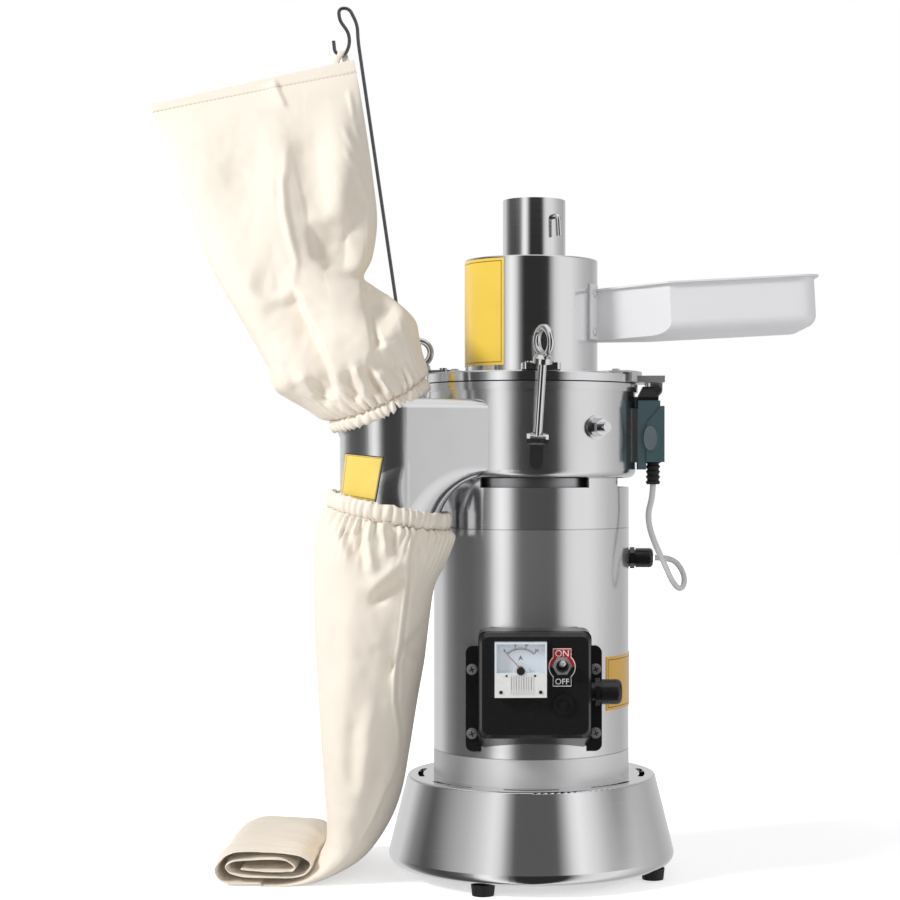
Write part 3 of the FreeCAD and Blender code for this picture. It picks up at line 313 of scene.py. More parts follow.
def barrel_steel():
    """Satin tube: a duller finish on the collar at its foot, a brighter one above the film line."""
    finish = Finish("barrel_steel")
    z = finish.axes()[2]
    collar = z.below(COLLAR_TOP)
    top = z.above(FILM_LINE)
    lines = finish.noise(1.0, 3, (900, 900, 9))
    clouds = finish.noise(11, 2)
    rough = 0.13 + 0.20 * collar - 0.03 * top
    edge = abs(z - FILM_LINE).below(0.0005).most(abs(z - COLLAR_TOP).below(0.0005))
    tone = finish.mix(collar, (0.76, 0.76, 0.77), (0.84, 0.84, 0.85))
    tone = finish.mix(edge, tone, (0.50, 0.50, 0.51))
    finish.set(Base_Color=tone, Metallic=0.86 - 0.36 * collar + 0.07 * top,
               Roughness=rough + 0.04 * lines + 0.03 * clouds, Normal=finish.bump(lines, 0.00002, 0.3))
    return finish.material


def casting():
    """Polished cast aluminium, slightly wavy, with a few fine pits."""
    finish = Finish("polished_casting")
    waves = finish.noise(16, 2)
    pits = finish.noise(420, 4, roughness=0.7)
    finish.set(Base_Color=finish.mix(waves, (0.69, 0.69, 0.70), (0.77, 0.77, 0.78)), Metallic=0.97,
               Roughness=0.12 + 0.06 * waves + 0.05 * pits,
               Normal=finish.bump(waves + 0.02 * pits, 0.0009, 0.3))
    return finish.material


def plain_metal(name, colour, rough, grain=300.0):
    finish = Finish(name)
    grains = finish.noise(grain, 3)
    finish.set(Base_Color=finish.mix(grains, tuple(0.93 * c for c in colour), colour), Metallic=1.0,
               Roughness=rough + 0.08 * grains, Normal=finish.bump(grains, 0.00003, 0.3))
    return finish.material


def plastic(name, colour, rough, grain=700.0, depth=0.00006, coat=0.0):
    finish = Finish(name)
    grains = finish.noise(grain, 3)
    clouds = finish.noise(25, 2)
    tone = finish.mix(clouds, tuple(0.88 * c for c in colour), tuple(1.06 * c for c in colour))
    finish.set(Base_Color=tone, Roughness=rough + 0.1 * grains,
               Normal=finish.bump(grains, depth, 0.4), Coat_Weight=coat)
    return finish.material


def bordered(name, middle, half_turn, low, high, radius, field, line):
    """A bare plate bent round the machine's axis, with a thin printed border."""
    inset, width = 0.0022, 0.0007
    finish = Finish(name)
    x, y, z = finish.axes()
    azimuth = y.math("ARCTAN2", x)
    off = abs((azimuth - math.radians(middle)).math("WRAP", math.pi, -math.pi)) * radius
    edge = (math.radians(half_turn) * radius - off).least(z - low).least(high - z)
    border = edge.above(inset) * edge.below(inset + width)
    clouds = finish.noise(30, 2)
    tone = finish.mix(clouds, tuple(0.90 * c for c in field), field)
    finish.set(Base_Color=finish.mix(border, tone, line), Roughness=0.32 + 0.08 * clouds,
               Normal=finish.bump(clouds, 0.0001, 0.2), Coat_Weight=0.3)
    return finish.material


def cotton():
    """Plain woven cotton: threads over and under each other, with slubs and soft creases."""
    finish = Finish("cotton")
    point = finish.node("ShaderNodeUVMap", {"uv_map": "cloth"})
    u, v = finish.split(point)[:2]
    pitch = 0.0011
    wave = 2 * math.pi / pitch
    weave = (u * wave).sin() * (v * wave).sin()
    slubs = finish.noise(260)
    creases = finish.noise(38, 4, roughness=0.6)
    height = 0.07 * weave + 0.25 * slubs + 1.3 * creases
    tone = finish.mix(slubs, (0.770, 0.630, 0.565), (0.830, 0.695, 0.632))
    finish.set(Base_Color=tone, Roughness=0.86 + 0.08 * slubs, Normal=finish.bump(height, 0.0013, 0.45),
               Sheen_Weight=0.08, Sheen_Roughness=0.5, Specular_IOR_Level=0.15)
    return finish.material


def label_paint(name, wide, high, field, line):
    """A bare plate on its own UV map, with a thin border and painted shade along its right and top edges; the
    map runs from 0 to 1.
    """
    finish = Finish(name)
    point = finish.node("ShaderNodeUVMap", {"uv_map": "plate"})
    u, v = finish.split(point)[:2]
    edge = (u.least(1 - u) * wide).least(v.least(1 - v) * high)
    inset, width = 0.0014, 0.0005
    border = edge.above(inset) * edge.below(inset + width)
    # painted shade: a near-black strip along the plate's right and top edges
    side_shade_width, top_shade_width = 0.0011, 0.0009
    edge_shade = (u.above(1 - side_shade_width / wide)).most(v.above(1 - top_shade_width / high))
    clouds = finish.noise(60, 2)
    tone = finish.mix(clouds, tuple(0.90 * c for c in field), field)
    tone = finish.mix(border, tone, line)
    finish.set(Base_Color=finish.mix(edge_shade, tone, (0.03, 0.03, 0.03)), Roughness=0.32 + 0.08 * clouds,
               Normal=finish.bump(clouds, 0.0001, 0.2), Coat_Weight=0.3)
    return finish.material


def window():
    finish = Finish("clear_window")
    haze = finish.noise(60, 2)
    finish.set(Base_Color=(0.95, 0.97, 1.0), Roughness=0.03 + 0.05 * haze, Alpha=0.10, Specular_IOR_Level=0.6)
    return finish.material


def dial_face(edge_z):
    """White moulding: the dial above its cover's edge is a pale blue white."""
    finish = Finish("meter_white")
    z = finish.axes()[2]
    clouds = finish.noise(60, 2)
    tone = finish.mix(z.above(edge_z), (0.80, 0.80, 0.79), (0.74, 0.80, 0.86))
    finish.set(Base_Color=tone, Roughness=0.25 + 0.05 * clouds, Normal=finish.bump(clouds, 0.0001, 0.2))
    return finish.material


def plate_paint(edge_z):
    """Switch plate: red above, black below."""
    finish = Finish("switch_plate_paint")
    z = finish.axes()[2]
    clouds = finish.noise(150, 2)
    tone = finish.mix(z.above(edge_z), (0.012, 0.012, 0.012), (0.50, 0.018, 0.016))
    finish.set(Base_Color=tone, Roughness=0.3 + 0.1 * clouds, Normal=finish.bump(clouds, 0.00004, 0.2))
    return finish.material


YELLOW = (0.90, 0.63, 0.09)
SWITCH_MIDDLE_Z = 0.1864


def dress_nodes():
    """Gives every CAD node its finish."""
    polished = steel("polished_steel", (0.76, 0.76, 0.77), 0.10)
    sheet = steel("sheet_steel", (0.90, 0.90, 0.92), 0.42, (300, 9, 300), metallic=0.12)
    leaf = steel("leaf_steel", (0.74, 0.74, 0.75), 0.30, (300, 9, 300), metallic=0.85)
    chrome = plain_metal("chrome", (0.74, 0.74, 0.75), 0.07, 120)
    screw = plain_metal("screw_steel", (0.80, 0.80, 0.81), 0.40, 300)
    rod = plain_metal("rod_steel", (0.20, 0.20, 0.21), 0.30, 200)
    cast = casting()
    bearing = plain_metal("bearing_steel", (0.55, 0.55, 0.56), 0.25)
    dark_cast = plain_metal("machined_casting", (0.10, 0.10, 0.11), 0.5)
    bracket = plain_metal("bracket_casting", (0.46, 0.46, 0.47), 0.30)
    black = plastic("black_plastic", (0.012, 0.012, 0.013), 0.24, 500, 0.00005, 0.2)
    rubber = plastic("rubber", (0.016, 0.016, 0.016), 0.6)
    white = dial_face(0.1812)
    yellow = bordered("barrel_label", -20, 22, 0.144, 0.189, 0.0841, (0.86, 0.50, 0.07), (0.20, 0.08, 0.02))
    neck = bordered("neck_label_yellow", 203, 43.5, 0.434, 0.524, 0.0571, YELLOW, (0.22, 0.11, 0.02))
    finishes = {
        "base_skirt": polished, "lid": polished, "neck": polished, "feed_sleeve": polished,
        "barrel": barrel_steel(), "chamber": cast, "hinge_lug": cast,
        "tray": sheet, "hinge_leaf": leaf,
        "rubber_feet": rubber, "lid_gasket": rubber, "shaft_seal": rubber, "switch_boot": rubber,
        "run_capacitor": plastic("grey_plastic", (0.5, 0.5, 0.5), 0.5),
        "stator_windings": plain_metal("copper", (0.62, 0.33, 0.16), 0.3),
        "limit_switch": plastic("teal_plastic", (0.075, 0.135, 0.155), 0.42),
        "switch_cable": plastic("grey_cable", (0.62, 0.62, 0.63), 0.5),
        "meter_case": white, "meter_window": window(), "toggle_plate": plate_paint(SWITCH_MIDDLE_Z),
        "meter_needle": plastic("needle_red", (0.30, 0.03, 0.02), 0.4),
        "neck_label": neck, "nameplates": yellow,
        "upper_bag": cotton(), "lower_bag": bpy.data.materials["cotton"],
    }
    finishes.update(dict.fromkeys(("clamp_lugs", "clamp_pins", "clamp_ears", "chamber_stud", "hinge_pin",
                                   "switch_plunger", "swing_bolt_front", "swing_bolt_rear",
                                   "eye_nut_front", "eye_nut_rear"), chrome))
    finishes.update(dict.fromkeys(("tray_screws", "box_screws", "toggle_bushing", "toggle_lever"), screw))
    finishes.update({"hook_rod": rod, "upper_bearing_bracket": bracket})
    finishes.update(dict.fromkeys(("ball_bearings", "motor_shaft", "sieve_ring", "hammer_1", "hammer_2",
                                   "hammer_3", "hammer_4"), bearing))
    finishes.update(dict.fromkeys(("lower_bearing_bracket", "stator_core", "toothed_liner",
                                   "hammer_carrier"), dark_cast))
    finishes.update(dict.fromkeys(("cooling_fan", "switch_head", "barrel_gland", "control_box", "box_gland",
                                   "breaker_collar", "reset_button"), black))
    for name, node in nodes.items():
        for slot in node.material_slots:
            slot.material = finishes[name]


# Mesh helpers


def new_piece(name, mesh, material, body, smooth=True):
    mesh.name = name
    if not mesh.materials:
        mesh.materials.append(material)
    if smooth:
        mesh.shade_smooth()
    piece = in_scene(name, mesh)
    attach(piece, body)
    return piece


def taken(bm):
    """The bmesh as a mesh; the bmesh is freed."""
    mesh = bpy.data.meshes.new("made")
    bm.to_mesh(mesh)
    bm.free()
    return mesh


def mesh_of(build):
    """The mesh that build draws into a bmesh, with its faces turned outwards."""
    bm = bmesh.new()
    build(bm)
    bmesh.ops.recalc_face_normals(bm, faces=bm.faces)
    return taken(bm)


def grid_faces(bm, layer, grid, step_u, step_v):
    """Faces between the rows of a grid, with a UV map of even steps."""
    for j in range(len(grid) - 1):
        for k in range(len(grid[0]) - 1):
            face = bm.faces.new((grid[j][k], grid[j][k + 1], grid[j + 1][k + 1], grid[j + 1][k]))
            for loop, (a, b) in zip(face.loops, ((k, j), (k + 1, j), (k + 1, j + 1), (k, j + 1))):
                loop[layer].uv = (a * step_u, b * step_v)


def baked(piece):
    """The piece's mesh with its modifiers applied."""
    bpy.context.view_layer.update()
    graph = bpy.context.evaluated_depsgraph_get()
    return bpy.data.meshes.new_from_object(piece.evaluated_get(graph))


def thickened(mesh, thickness, offset):
    """The sheet as a solid plate; offset -1 lays the thickness behind its faces, 0 on both sides."""
    holder = in_scene("holder", mesh)
    modifier = holder.modifiers.new("solidify", "SOLIDIFY")
    modifier.thickness = thickness
    modifier.offset = offset
    result = baked(holder)
    bpy.data.objects.remove(holder)
    return result


def box_on(bm, low, high, matrix):
    made = bmesh.ops.create_cube(bm, size=1.0)
    size = Vector(high) - Vector(low)
    middle = (Vector(high) + Vector(low)) / 2
    bmesh.ops.transform(bm, matrix=matrix @ Matrix.Translation(middle) @ Matrix.Diagonal((*size, 1)),
                        verts=made["verts"])


def disc_on(bm, radius, depth, matrix, sides=32, radius_top=None):
    top = radius if radius_top is None else radius_top
    made = bmesh.ops.create_cone(bm, cap_ends=True, segments=sides, radius1=radius, radius2=top, depth=depth)
    bmesh.ops.transform(bm, matrix=matrix @ Matrix.Translation((0, 0, depth / 2)), verts=made["verts"])


# Control panel places: across to the viewer's right, up, and out of the panel

BOX_TURN = math.radians(1.7)
BOX_FRONT = 112.0


def panel(x, z, out=0.0):
    """Matrix at a place on the panel: X across, Y up, Z out of it."""
    c = math.cos(BOX_TURN)
    s = math.sin(BOX_TURN)
    across = Vector((c, s, 0))
    outward = Vector((s, -c, 0))
    at = (across * x + outward * (BOX_FRONT + out) + Vector((0, 0, z))) * MM
    place = Matrix((across, (0, 0, 1), outward)).transposed().to_4x4()
    place.translation = at
    return place


def text_mesh(words, size, matrix, depth, bolder=0.0):
    """Plain lettering as a mesh, centred at a place."""
    curve = bpy.data.curves.new("words", "FONT")
    curve.body = words
    curve.size = size * MM
    curve.extrude = depth * MM / 2
    curve.offset = bolder * MM
    curve.align_x = "CENTER"
    curve.align_y = "CENTER"
    curve.resolution_u = 4
    holder = in_scene("words", curve)
    mesh = baked(holder)
    bpy.data.objects.remove(holder)
    mesh.transform(matrix @ Matrix.Translation((0, 0, depth * MM / 2)))
    return mesh


def joined(meshes):
    bm = bmesh.new()
    for mesh in meshes:
        bm.from_mesh(mesh)
    return taken(bm)


METER_X = (-33.0, 9.0)
METER_Z = (162.4, 206.9)
METER_MID = sum(METER_X) / 2
PIVOT_Z = METER_Z[0] + 23
DIAL_OUT = 1.5
COVER_OUT = 8.0
SCALE_R = 15.5
SCALE_SWEEP = 43.0


def meter_scale():
    """The printed scale: an arc with ticks, plain numbers and the ampere sign."""
    ink = plastic("dial_ink", (0.015, 0.015, 0.018), 0.5)
    meshes = []

    def draw(bm):
        steps = 30
        for k in range(steps + 1):
            angle = math.radians(SCALE_SWEEP - 2 * SCALE_SWEEP * k / steps)
            long_tick = k % 10 == 0
            reach = 3.2 if long_tick else 1.6
            turn = Matrix.Rotation(angle, 4, "Z")
            width = 0.28 if long_tick else 0.16
            place = panel(METER_MID, PIVOT_Z, DIAL_OUT) @ turn
            box_on(bm, mm(-width, SCALE_R, 0), mm(width, SCALE_R + reach, 0.12), place)
        arc = 40
        inner, outer = [], []
        for k in range(arc + 1):
            angle = math.radians(90 + SCALE_SWEEP - 2 * SCALE_SWEEP * k / arc)
            for radius, row in ((SCALE_R - 0.25, inner), (SCALE_R + 0.25, outer)):
                spot = mm(radius * math.cos(angle), radius * math.sin(angle), 0.1)
                row.append(bm.verts.new(panel(METER_MID, PIVOT_Z, DIAL_OUT) @ spot))
        for k in range(arc):
            bm.faces.new((inner[k], inner[k + 1], outer[k + 1], outer[k]))

    meshes.append(mesh_of(draw))
    for k, number in enumerate(("0", "10", "20", "30")):
        angle = math.radians(90 + SCALE_SWEEP - 2 * SCALE_SWEEP * k / 3)
        radius = SCALE_R + 5.0
        across = radius * math.cos(angle) * 0.93
        spot = panel(METER_MID + across, PIVOT_Z + radius * math.sin(angle) - 0.6, DIAL_OUT)
        meshes.append(text_mesh(number, 3.0, spot, 0.1, 0.12))
    meshes.append(text_mesh("A", 4.6, panel(METER_MID, PIVOT_Z + 8.4, DIAL_OUT), 0.1, 0.16))
    new_piece("meter_scale", joined(meshes), ink, "stand", smooth=False)


def meter_trim():
    """Pivot cover, two black dots and the cover's two dark screws."""
    dark = plastic("meter_trim_black", (0.02, 0.02, 0.022), 0.3)

    def draw(bm):
        disc_on(bm, 3.3 * MM, 0.9 * MM, panel(METER_MID, METER_Z[0] + 21.4, COVER_OUT))
        for x in (METER_X[0] + 9.5, METER_X[1] - 9.5):
            disc_on(bm, 0.9 * MM, 0.3 * MM, panel(x, METER_Z[0] + 17.6, COVER_OUT), 16)
        for x in (METER_X[0] + 5.0, METER_X[1] - 5.0):
            disc_on(bm, 1.5 * MM, 0.8 * MM, panel(x, METER_Z[0] + 4.4, COVER_OUT), 20, 1.2 * MM)

    new_piece("meter_trim", mesh_of(draw), dark, "stand", smooth=False)


TOGGLE_X = 21.6
TOGGLE_Z = 187.4


def switch_words():
    """The plain words ON and OFF."""
    paint = plastic("switch_words_white", (0.85, 0.85, 0.85), 0.4)
    words = [text_mesh("ON", 7.4, panel(TOGGLE_X, TOGGLE_Z + 9.7, 0.8), 0.12),
             text_mesh("OFF", 6.6, panel(TOGGLE_X, TOGGLE_Z - 13.0, 0.8), 0.12)]
    new_piece("switch_words", joined(words), paint, "stand", smooth=False)


INSET = 0.9 * MM
CORNER_FROM = 8.8 * MM
LINE_OUT = 0.84 * MM


def plate_outline():
    """The switch plate's thin white line, drawn just inside the edge of its face."""
    bm = bmesh.new()
    bm.from_mesh(nodes["toggle_plate"].data)
    bmesh.ops.remove_doubles(bm, verts=bm.verts, dist=1e-5)
    outward = panel(0, 0).col[2].xyz
    front = [face for face in bm.faces if face.normal.dot(outward) > 0.99
             and (face.calc_center_median() - panel(0, 0, 0.1).translation).dot(outward) > 0]
    edges = [edge for edge in bm.edges if sum(face in front for face in edge.link_faces) == 1]
    flat = panel(0, 0).inverted()
    middle = (flat @ panel(TOGGLE_X, TOGGLE_Z - 1.2).translation).xy
    corners = {}
    for edge in edges:
        spots = [(flat @ vert.co).xy for vert in edge.verts]
        if max((spot - middle).length for spot in spots) > CORNER_FROM:
            corners[edge] = spots
    bm.free()

    def draw(out):
        for spots in corners.values():
            inner = [middle + (spot - middle) * (1 - INSET / (spot - middle).length) for spot in spots]
            outer = [middle + (spot - middle) * (1 - 0.3 * INSET / (spot - middle).length) for spot in spots]
            lifted = [panel(0, 0) @ Vector((*spot, LINE_OUT)) for spot in (*inner, *reversed(outer))]
            out.faces.new([out.verts.new(spot) for spot in lifted])

    paint = bpy.data.materials["switch_words_white"]
    new_piece("switch_plate_line", mesh_of(draw), paint, "stand", smooth=False)


SCREW_SPOTS = [(x, z) for x in (-51.3, 51.3) for z in (180.6, 127.6)]
SCREW_OUT = -35.5


def screw_crosses():
    """Cross recesses in the box's four screw heads, drawn as flat black crosses: painted shade in the
    recesses.
    """
    dark = plastic("recess_painted_shade", (0.02, 0.02, 0.02), 0.5)

    def draw(bm):
        for x, z in SCREW_SPOTS:
            for turn in (20, 110):
                place = panel(x, z, SCREW_OUT) @ Matrix.Rotation(math.radians(turn), 4, "Z")
                # painted shade: each bar is a black strip laid on the head in place of the recess's shade
                box_on(bm, mm(-2.3, -0.5, -0.4), mm(2.3, 0.5, 0.04), place)

    new_piece("screw_crosses", mesh_of(draw), dark, "stand", smooth=False)


def meter_ribs():
    """Fine upright ribs moulded in the meter's lower cover."""
    rib_paint = plastic("meter_rib_grey", (0.42, 0.43, 0.44), 0.35)

    def draw(bm):
        count = 15
        for k in range(count):
            across = (k / (count - 1) - 0.5) * 17
            top = METER_Z[0] + 17.5 - 0.012 * across ** 2
            bottom = METER_Z[0] + 6.5
            place = panel(METER_MID + across, bottom, COVER_OUT)
            box_on(bm, mm(-0.22, 0, 0), mm(0.22, top - bottom, 0.25), place)

    new_piece("meter_ribs", mesh_of(draw), rib_paint, "stand", smooth=False)


# Places found by looking from the camera through a spot on the plane of the machine's axis


def solid_of(name):
    """A search tree of a CAD node."""
    bm = bmesh.new()
    bm.from_mesh(nodes[name].data)
    found = BVHTree.FromBMesh(bm)
    bm.free()
    return found


def seen_on(solid, x, z):
    """Where the camera's line of sight through (x, z) meets the solid, and the face's normal there."""
    eye = mm(0, -DISTANCE, EYE_Z)
    sight = (mm(x, 0, z) - eye).normalized()
    return solid.ray_cast(eye, sight)[:2]


DUCT_LABEL = ((-160.3, 360.2), (-127.4, 356.8), (-134.3, 317.9), (-165.0, 323.1))


def duct_label():
    """Bare yellow plate stuck on the round of the discharge duct."""
    solid = solid_of("chamber")
    steps = 14
    top_left, top_right, low_right, low_left = [Vector(corner) for corner in DUCT_LABEL]
    bm = bmesh.new()
    layer = bm.loops.layers.uv.new("plate")
    grid = []
    for j in range(steps + 1):
        row = []
        for k in range(steps + 1):
            left = low_left.lerp(top_left, j / steps)
            right = low_right.lerp(top_right, j / steps)
            x, z = left.lerp(right, k / steps)
            spot, normal = seen_on(solid, x, z)
            row.append(bm.verts.new(spot + normal * 0.35 * MM))
        grid.append(row)
    grid_faces(bm, layer, grid, 1 / steps, 1 / steps)
    mesh = thickened(taken(bm), 0.3 * MM, -1)
    paint = label_paint("duct_label_yellow", 0.033, 0.036, (0.93, 0.70, 0.16), (0.45, 0.26, 0.04))
    new_piece("duct_label", mesh, paint, "stand")


def switch_badge():
    """Bare oval badge on the limit switch."""
    spot = seen_on(solid_of("limit_switch"), 102.9, 373.2)[0]
    silver = plastic("badge_grey", (0.17, 0.21, 0.22), 0.35)

    def draw(bm):
        around = 40
        rings = []
        for share, out in ((1.0, 0.0), (1.0, 0.55), (0.90, 0.75), (0.84, 0.45), (0.5, 0.5)):
            ring = []
            for k in range(around):
                turn = 2 * math.pi * k / around
                off = mm(5.6 * share * math.cos(turn), -out, 10.4 * share * math.sin(turn))
                ring.append(bm.verts.new(spot + off))
            rings.append(ring)
        for low, high in zip(rings, rings[1:]):
            for k in range(around):
                m = (k + 1) % around
                bm.faces.new((low[k], low[m], high[m], high[k]))
        bm.faces.new(rings[-1])

    new_piece("switch_badge", mesh_of(draw), silver, "stand", smooth=False)


# The switch cable, along the same route as the CAD's

CABLE_POINTS = [(104, -20.5, 333.4), (103.5, -20.5, 322), (99.5, -22, 309), (101, -25, 295), (106, -29, 281),
                (113, -32, 266), (119, -31, 252), (126, -22, 243.5), (131.5, -11, 246), (132, -3, 256),
                (125, 0, 267), (115, 0, 269.6), (107, 0, 269.6)]
CABLE_D = 5.0


def switch_cable():
    curve = bpy.data.curves.new("switch_cable_sheath", "CURVE")
    curve.dimensions = "3D"
    spline = curve.splines.new("NURBS")
    spline.points.add(len(CABLE_POINTS) - 1)
    for point, at in zip(spline.points, CABLE_POINTS):
        point.co = (*mm(*at), 1)
    spline.order_u = 3
    spline.use_endpoint_u = True
    curve.resolution_u = 12
    curve.bevel_depth = CABLE_D / 2 * MM
    curve.bevel_resolution = 6
    curve.use_fill_caps = True
    curve.materials.append(bpy.data.materials["grey_cable"])
    cable = in_scene("switch_cable_sheath", curve)
    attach(cable, "stand")
    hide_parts("switch_cable")


# Cloth bags. Their outlines and folds are written in millimetres as the camera sees them at
# the plane of the machine's axis, and brought to their own depth by at_depth.

AROUND = 300
PUCKERS = 42
PIPE_Y = -70.0
PIPE_X = -116.4


def at_depth(x, z, y):
    """From the seen plane to a true place at depth y."""
    near = 1 + y / DISTANCE
    return x * near, EYE_Z + (z - EYE_Z) * near


def blend_rows(rows, t):
    """Catmull-Rom between rows of numbers; t runs over the rows' indices."""
    last = len(rows) - 1
    k = min(int(t), last - 1)
    f = t - k
    p = [rows[max(0, min(last, k + j))] for j in (-1, 0, 1, 2)]
    return [0.5 * (2 * b + f * (c - a) + f * f * (2 * a - 5 * b + 4 * c - d)
                   + f ** 3 * (3 * b - a - 3 * c + d)) for a, b, c, d in zip(*p)]


def beside(line, x, z):
    """Signed distances of points to a polyline, left of its run positive, and the share run by."""
    best = np.full(x.shape, 1e9)
    side = np.ones(x.shape)
    share = np.zeros(x.shape)
    total = sum(math.dist(a, b) for a, b in zip(line, line[1:]))
    gone = 0.0
    for (ax, az), (bx, bz) in zip(line, line[1:]):
        dx, dz = bx - ax, bz - az
        size = math.hypot(dx, dz)
        f = np.clip(((x - ax) * dx + (z - az) * dz) / size ** 2, 0, 1)
        off_x, off_z = x - ax - f * dx, z - az - f * dz
        distance = np.hypot(off_x, off_z)
        nearer = distance < best
        best = np.where(nearer, distance, best)
        side = np.where(nearer, np.sign(dx * off_z - dz * off_x), side)
        share = np.where(nearer, (gone + f * size) / total, share)
        gone += size
    return best, side, share


def fade_ends(share, tail):
    return np.clip(share / tail + 0.1, 0, 1) * np.clip((1 - share) / tail + 0.1, 0, 1)


def ridge(height, width, *line, tail=0.25):
    """A soft fold along a line, rising or, with a negative height, sinking."""
    def lift(x, z):
        distance, _, share = beside(line, x, z)
        return height * np.exp(-(distance / width) ** 2) * fade_ends(share, tail)
    return lift


def crease(height, width, *line, sharp=1.6, tail=0.2):
    """A step along a line: its left side is lifted there and falls away over the width."""
    def lift(x, z):
        distance, side, share = beside(line, x, z)
        signed = distance * side
        step = 0.5 * (1 + np.tanh(signed / sharp))
        return height * step * np.exp(-(np.maximum(0, signed) / width) ** 1.5) * fade_ends(share, tail)
    return lift


def shoulder(depth, width, *line, tail=0.1):
    """An edge along a line: the cloth on its left side turns away and stays back by the depth."""
    def lift(x, z):
        distance, side, share = beside(line, x, z)
        signed = np.maximum(0, distance * side)
        return -depth * (1 - np.exp(-signed / width)) * fade_ends(share, tail)
    return lift


UPPER_FOLDS = [
    # the long lit ridge down the middle and the valley edge that goes on from it
    ridge(8, 24, (-208, 655), (-214, 600), (-209, 550), (-203, 520)),
    ridge(3.5, 3.2, (-210, 628), (-215.5, 596), (-213.5, 572), (-208, 545), (-203, 526), (-206, 507)),
    ridge(-2.5, 2.2, (-213, 612), (-219, 592), (-217.5, 572)),
    crease(-13, 26, (-167.5, 408), (-175.6, 436), (-184.3, 458), (-195.3, 480), (-205.5, 503), tail=0.12),
    # the broad lit fold on the right, with the big hollow under and beside it
    crease(-6, 22, (-182, 524), (-188.5, 545), (-194, 572), (-196, 605), (-196, 648), sharp=6.0),
    ridge(10, 18, (-166, 668), (-160, 625), (-161, 590), (-166, 556)),
    ridge(-8, 13, (-142, 620), (-144, 590), (-148, 560), (-152, 545), tail=0.5),
    ridge(-6, 12, (-192, 640), (-188, 600), (-184, 560)),
    crease(-17, 46, (-194, 560), (-188, 532), (-177, 521), (-160.3, 520), (-142, 520), sharp=3.2, tail=0.3),
    # pocket and bulge above the gathered hem
    crease(-9, 30, (-146.5, 512), (-146.8, 506), (-142.8, 484), (-138.5, 462), (-137, 450),
           sharp=1.2, tail=0.1),
    ridge(-19, 15, (-137, 505), (-127, 489), (-113, 480), tail=0.4),
    ridge(10, 12, (-134, 456), (-118, 462), (-104, 466)),
    ridge(-5, 9, (-142, 443), (-122, 438), (-104, 440)),
    # lesser hollow left of the ridge
    crease(-7, 26, (-246, 500), (-226, 495), (-206, 498), sharp=3.0, tail=0.35),
    ridge(-9, 30, (-262, 640), (-248, 600), (-232, 560), tail=0.6),
    ridge(5, 20, (-262, 515), (-236, 460), (-214, 425)),
    # small creases and puckers
    crease(3.5, 8, (-210.6, 659), (-216, 670), (-221.5, 684), sharp=1.0),
    ridge(2.4, 2.6, (-158.1, 675), (-152.7, 648)),
    ridge(2.6, 2.6, (-162.4, 640), (-149.4, 618)),
    ridge(2.2, 2.4, (-153, 644), (-145, 626)),
    ridge(2.6, 2.6, (-161, 622), (-147, 602)),
    ridge(2.4, 2.8, (-150, 600), (-139.5, 574)),
    ridge(-6, 4.5, (-161.4, 432), (-150, 403)),
    ridge(5, 4, (-154, 436), (-140, 408)),
    ridge(-6, 4, (-146, 436), (-130, 410)),
    ridge(5, 4.5, (-134, 432), (-118, 408)),
    ridge(-5, 4, (-124, 440), (-106, 418)),
    ridge(-4, 4, (-188, 424), (-175, 400)),
    ridge(4, 5, (-202, 430), (-186, 404)),
    ridge(-3, 5, (-214, 440), (-200, 410)),
]

LOWER_FOLDS = [
    # the long edge down the right, the cloth beyond it turning away into shade
    shoulder(9, 11, (-102.6, 293), (-106.1, 252), (-109.2, 223.6), (-113, 193), (-116.7, 177), (-117.4, 146),
             (-113, 120), (-113.5, 97), (-119, 80.6), (-127.2, 64), (-136.6, 43), (-148, 24), tail=0.05),
    ridge(2.0, 5, (-104, 293), (-108.5, 252), (-111.5, 223), (-115.5, 190), (-119, 150), (-115.5, 110),
          (-121, 80), (-138, 43), tail=0.05),
    ridge(2.0, 1.7, (-103.8, 293), (-107.3, 252), (-110.4, 223.6), (-114.2, 193), (-118, 177), (-118.7, 146),
          (-114.3, 120), (-114.8, 97), (-120.3, 80), (-128.5, 63), (-138, 42), (-149, 24), tail=0.04),
    ridge(-3.0, 1.8, (-100.8, 293), (-104.3, 252), (-107.4, 223.6), (-111.2, 193), (-114.9, 177),
          (-115.6, 146), (-111.2, 120), (-111.7, 97), (-117.2, 80.6), (-125.4, 64), (-134.8, 43), tail=0.04),
    ridge(-3, 3, (-106, 284), (-104, 262), (-105, 240)),
    crease(-10, 30, (-90, 219), (-100, 206), (-113, 189), sharp=1.6),
    # folds that run down from the gathers
    ridge(-6, 3.8, (-146, 304), (-148.3, 282), (-143.6, 258)),
    ridge(5, 4.5, (-140, 302), (-141, 276), (-136, 254)),
    ridge(-5, 5, (-162, 296), (-150, 266)),
    ridge(4, 6, (-171, 298), (-157, 262)),
    ridge(-7, 5.5, (-110, 256), (-124, 243), (-139, 228)),
    ridge(5, 6, (-110, 266), (-127, 251), (-142, 240)),
    ridge(-4, 3.5, (-124, 304), (-118, 270)),
    ridge(4, 3.5, (-129, 302), (-125, 272)),
    ridge(-4, 4, (-95, 296), (-97, 264)),
    ridge(-3.5, 3, (-85, 292), (-88, 268)),
    ridge(-3, 3, (-116.7, 183), (-123, 171)),
    ridge(3.5, 3, (-113, 177), (-120, 164)),
    # long faint ones
    ridge(-4, 7, (-153, 135), (-156, 64)),
    ridge(3.5, 9, (-140, 150), (-146, 60)),
    ridge(-4, 7, (-125, 100), (-146, 40)),
    ridge(-3, 9, (-171, 260), (-173, 150)),
    ridge(3, 12, (-160, 230), (-160, 120)),
]


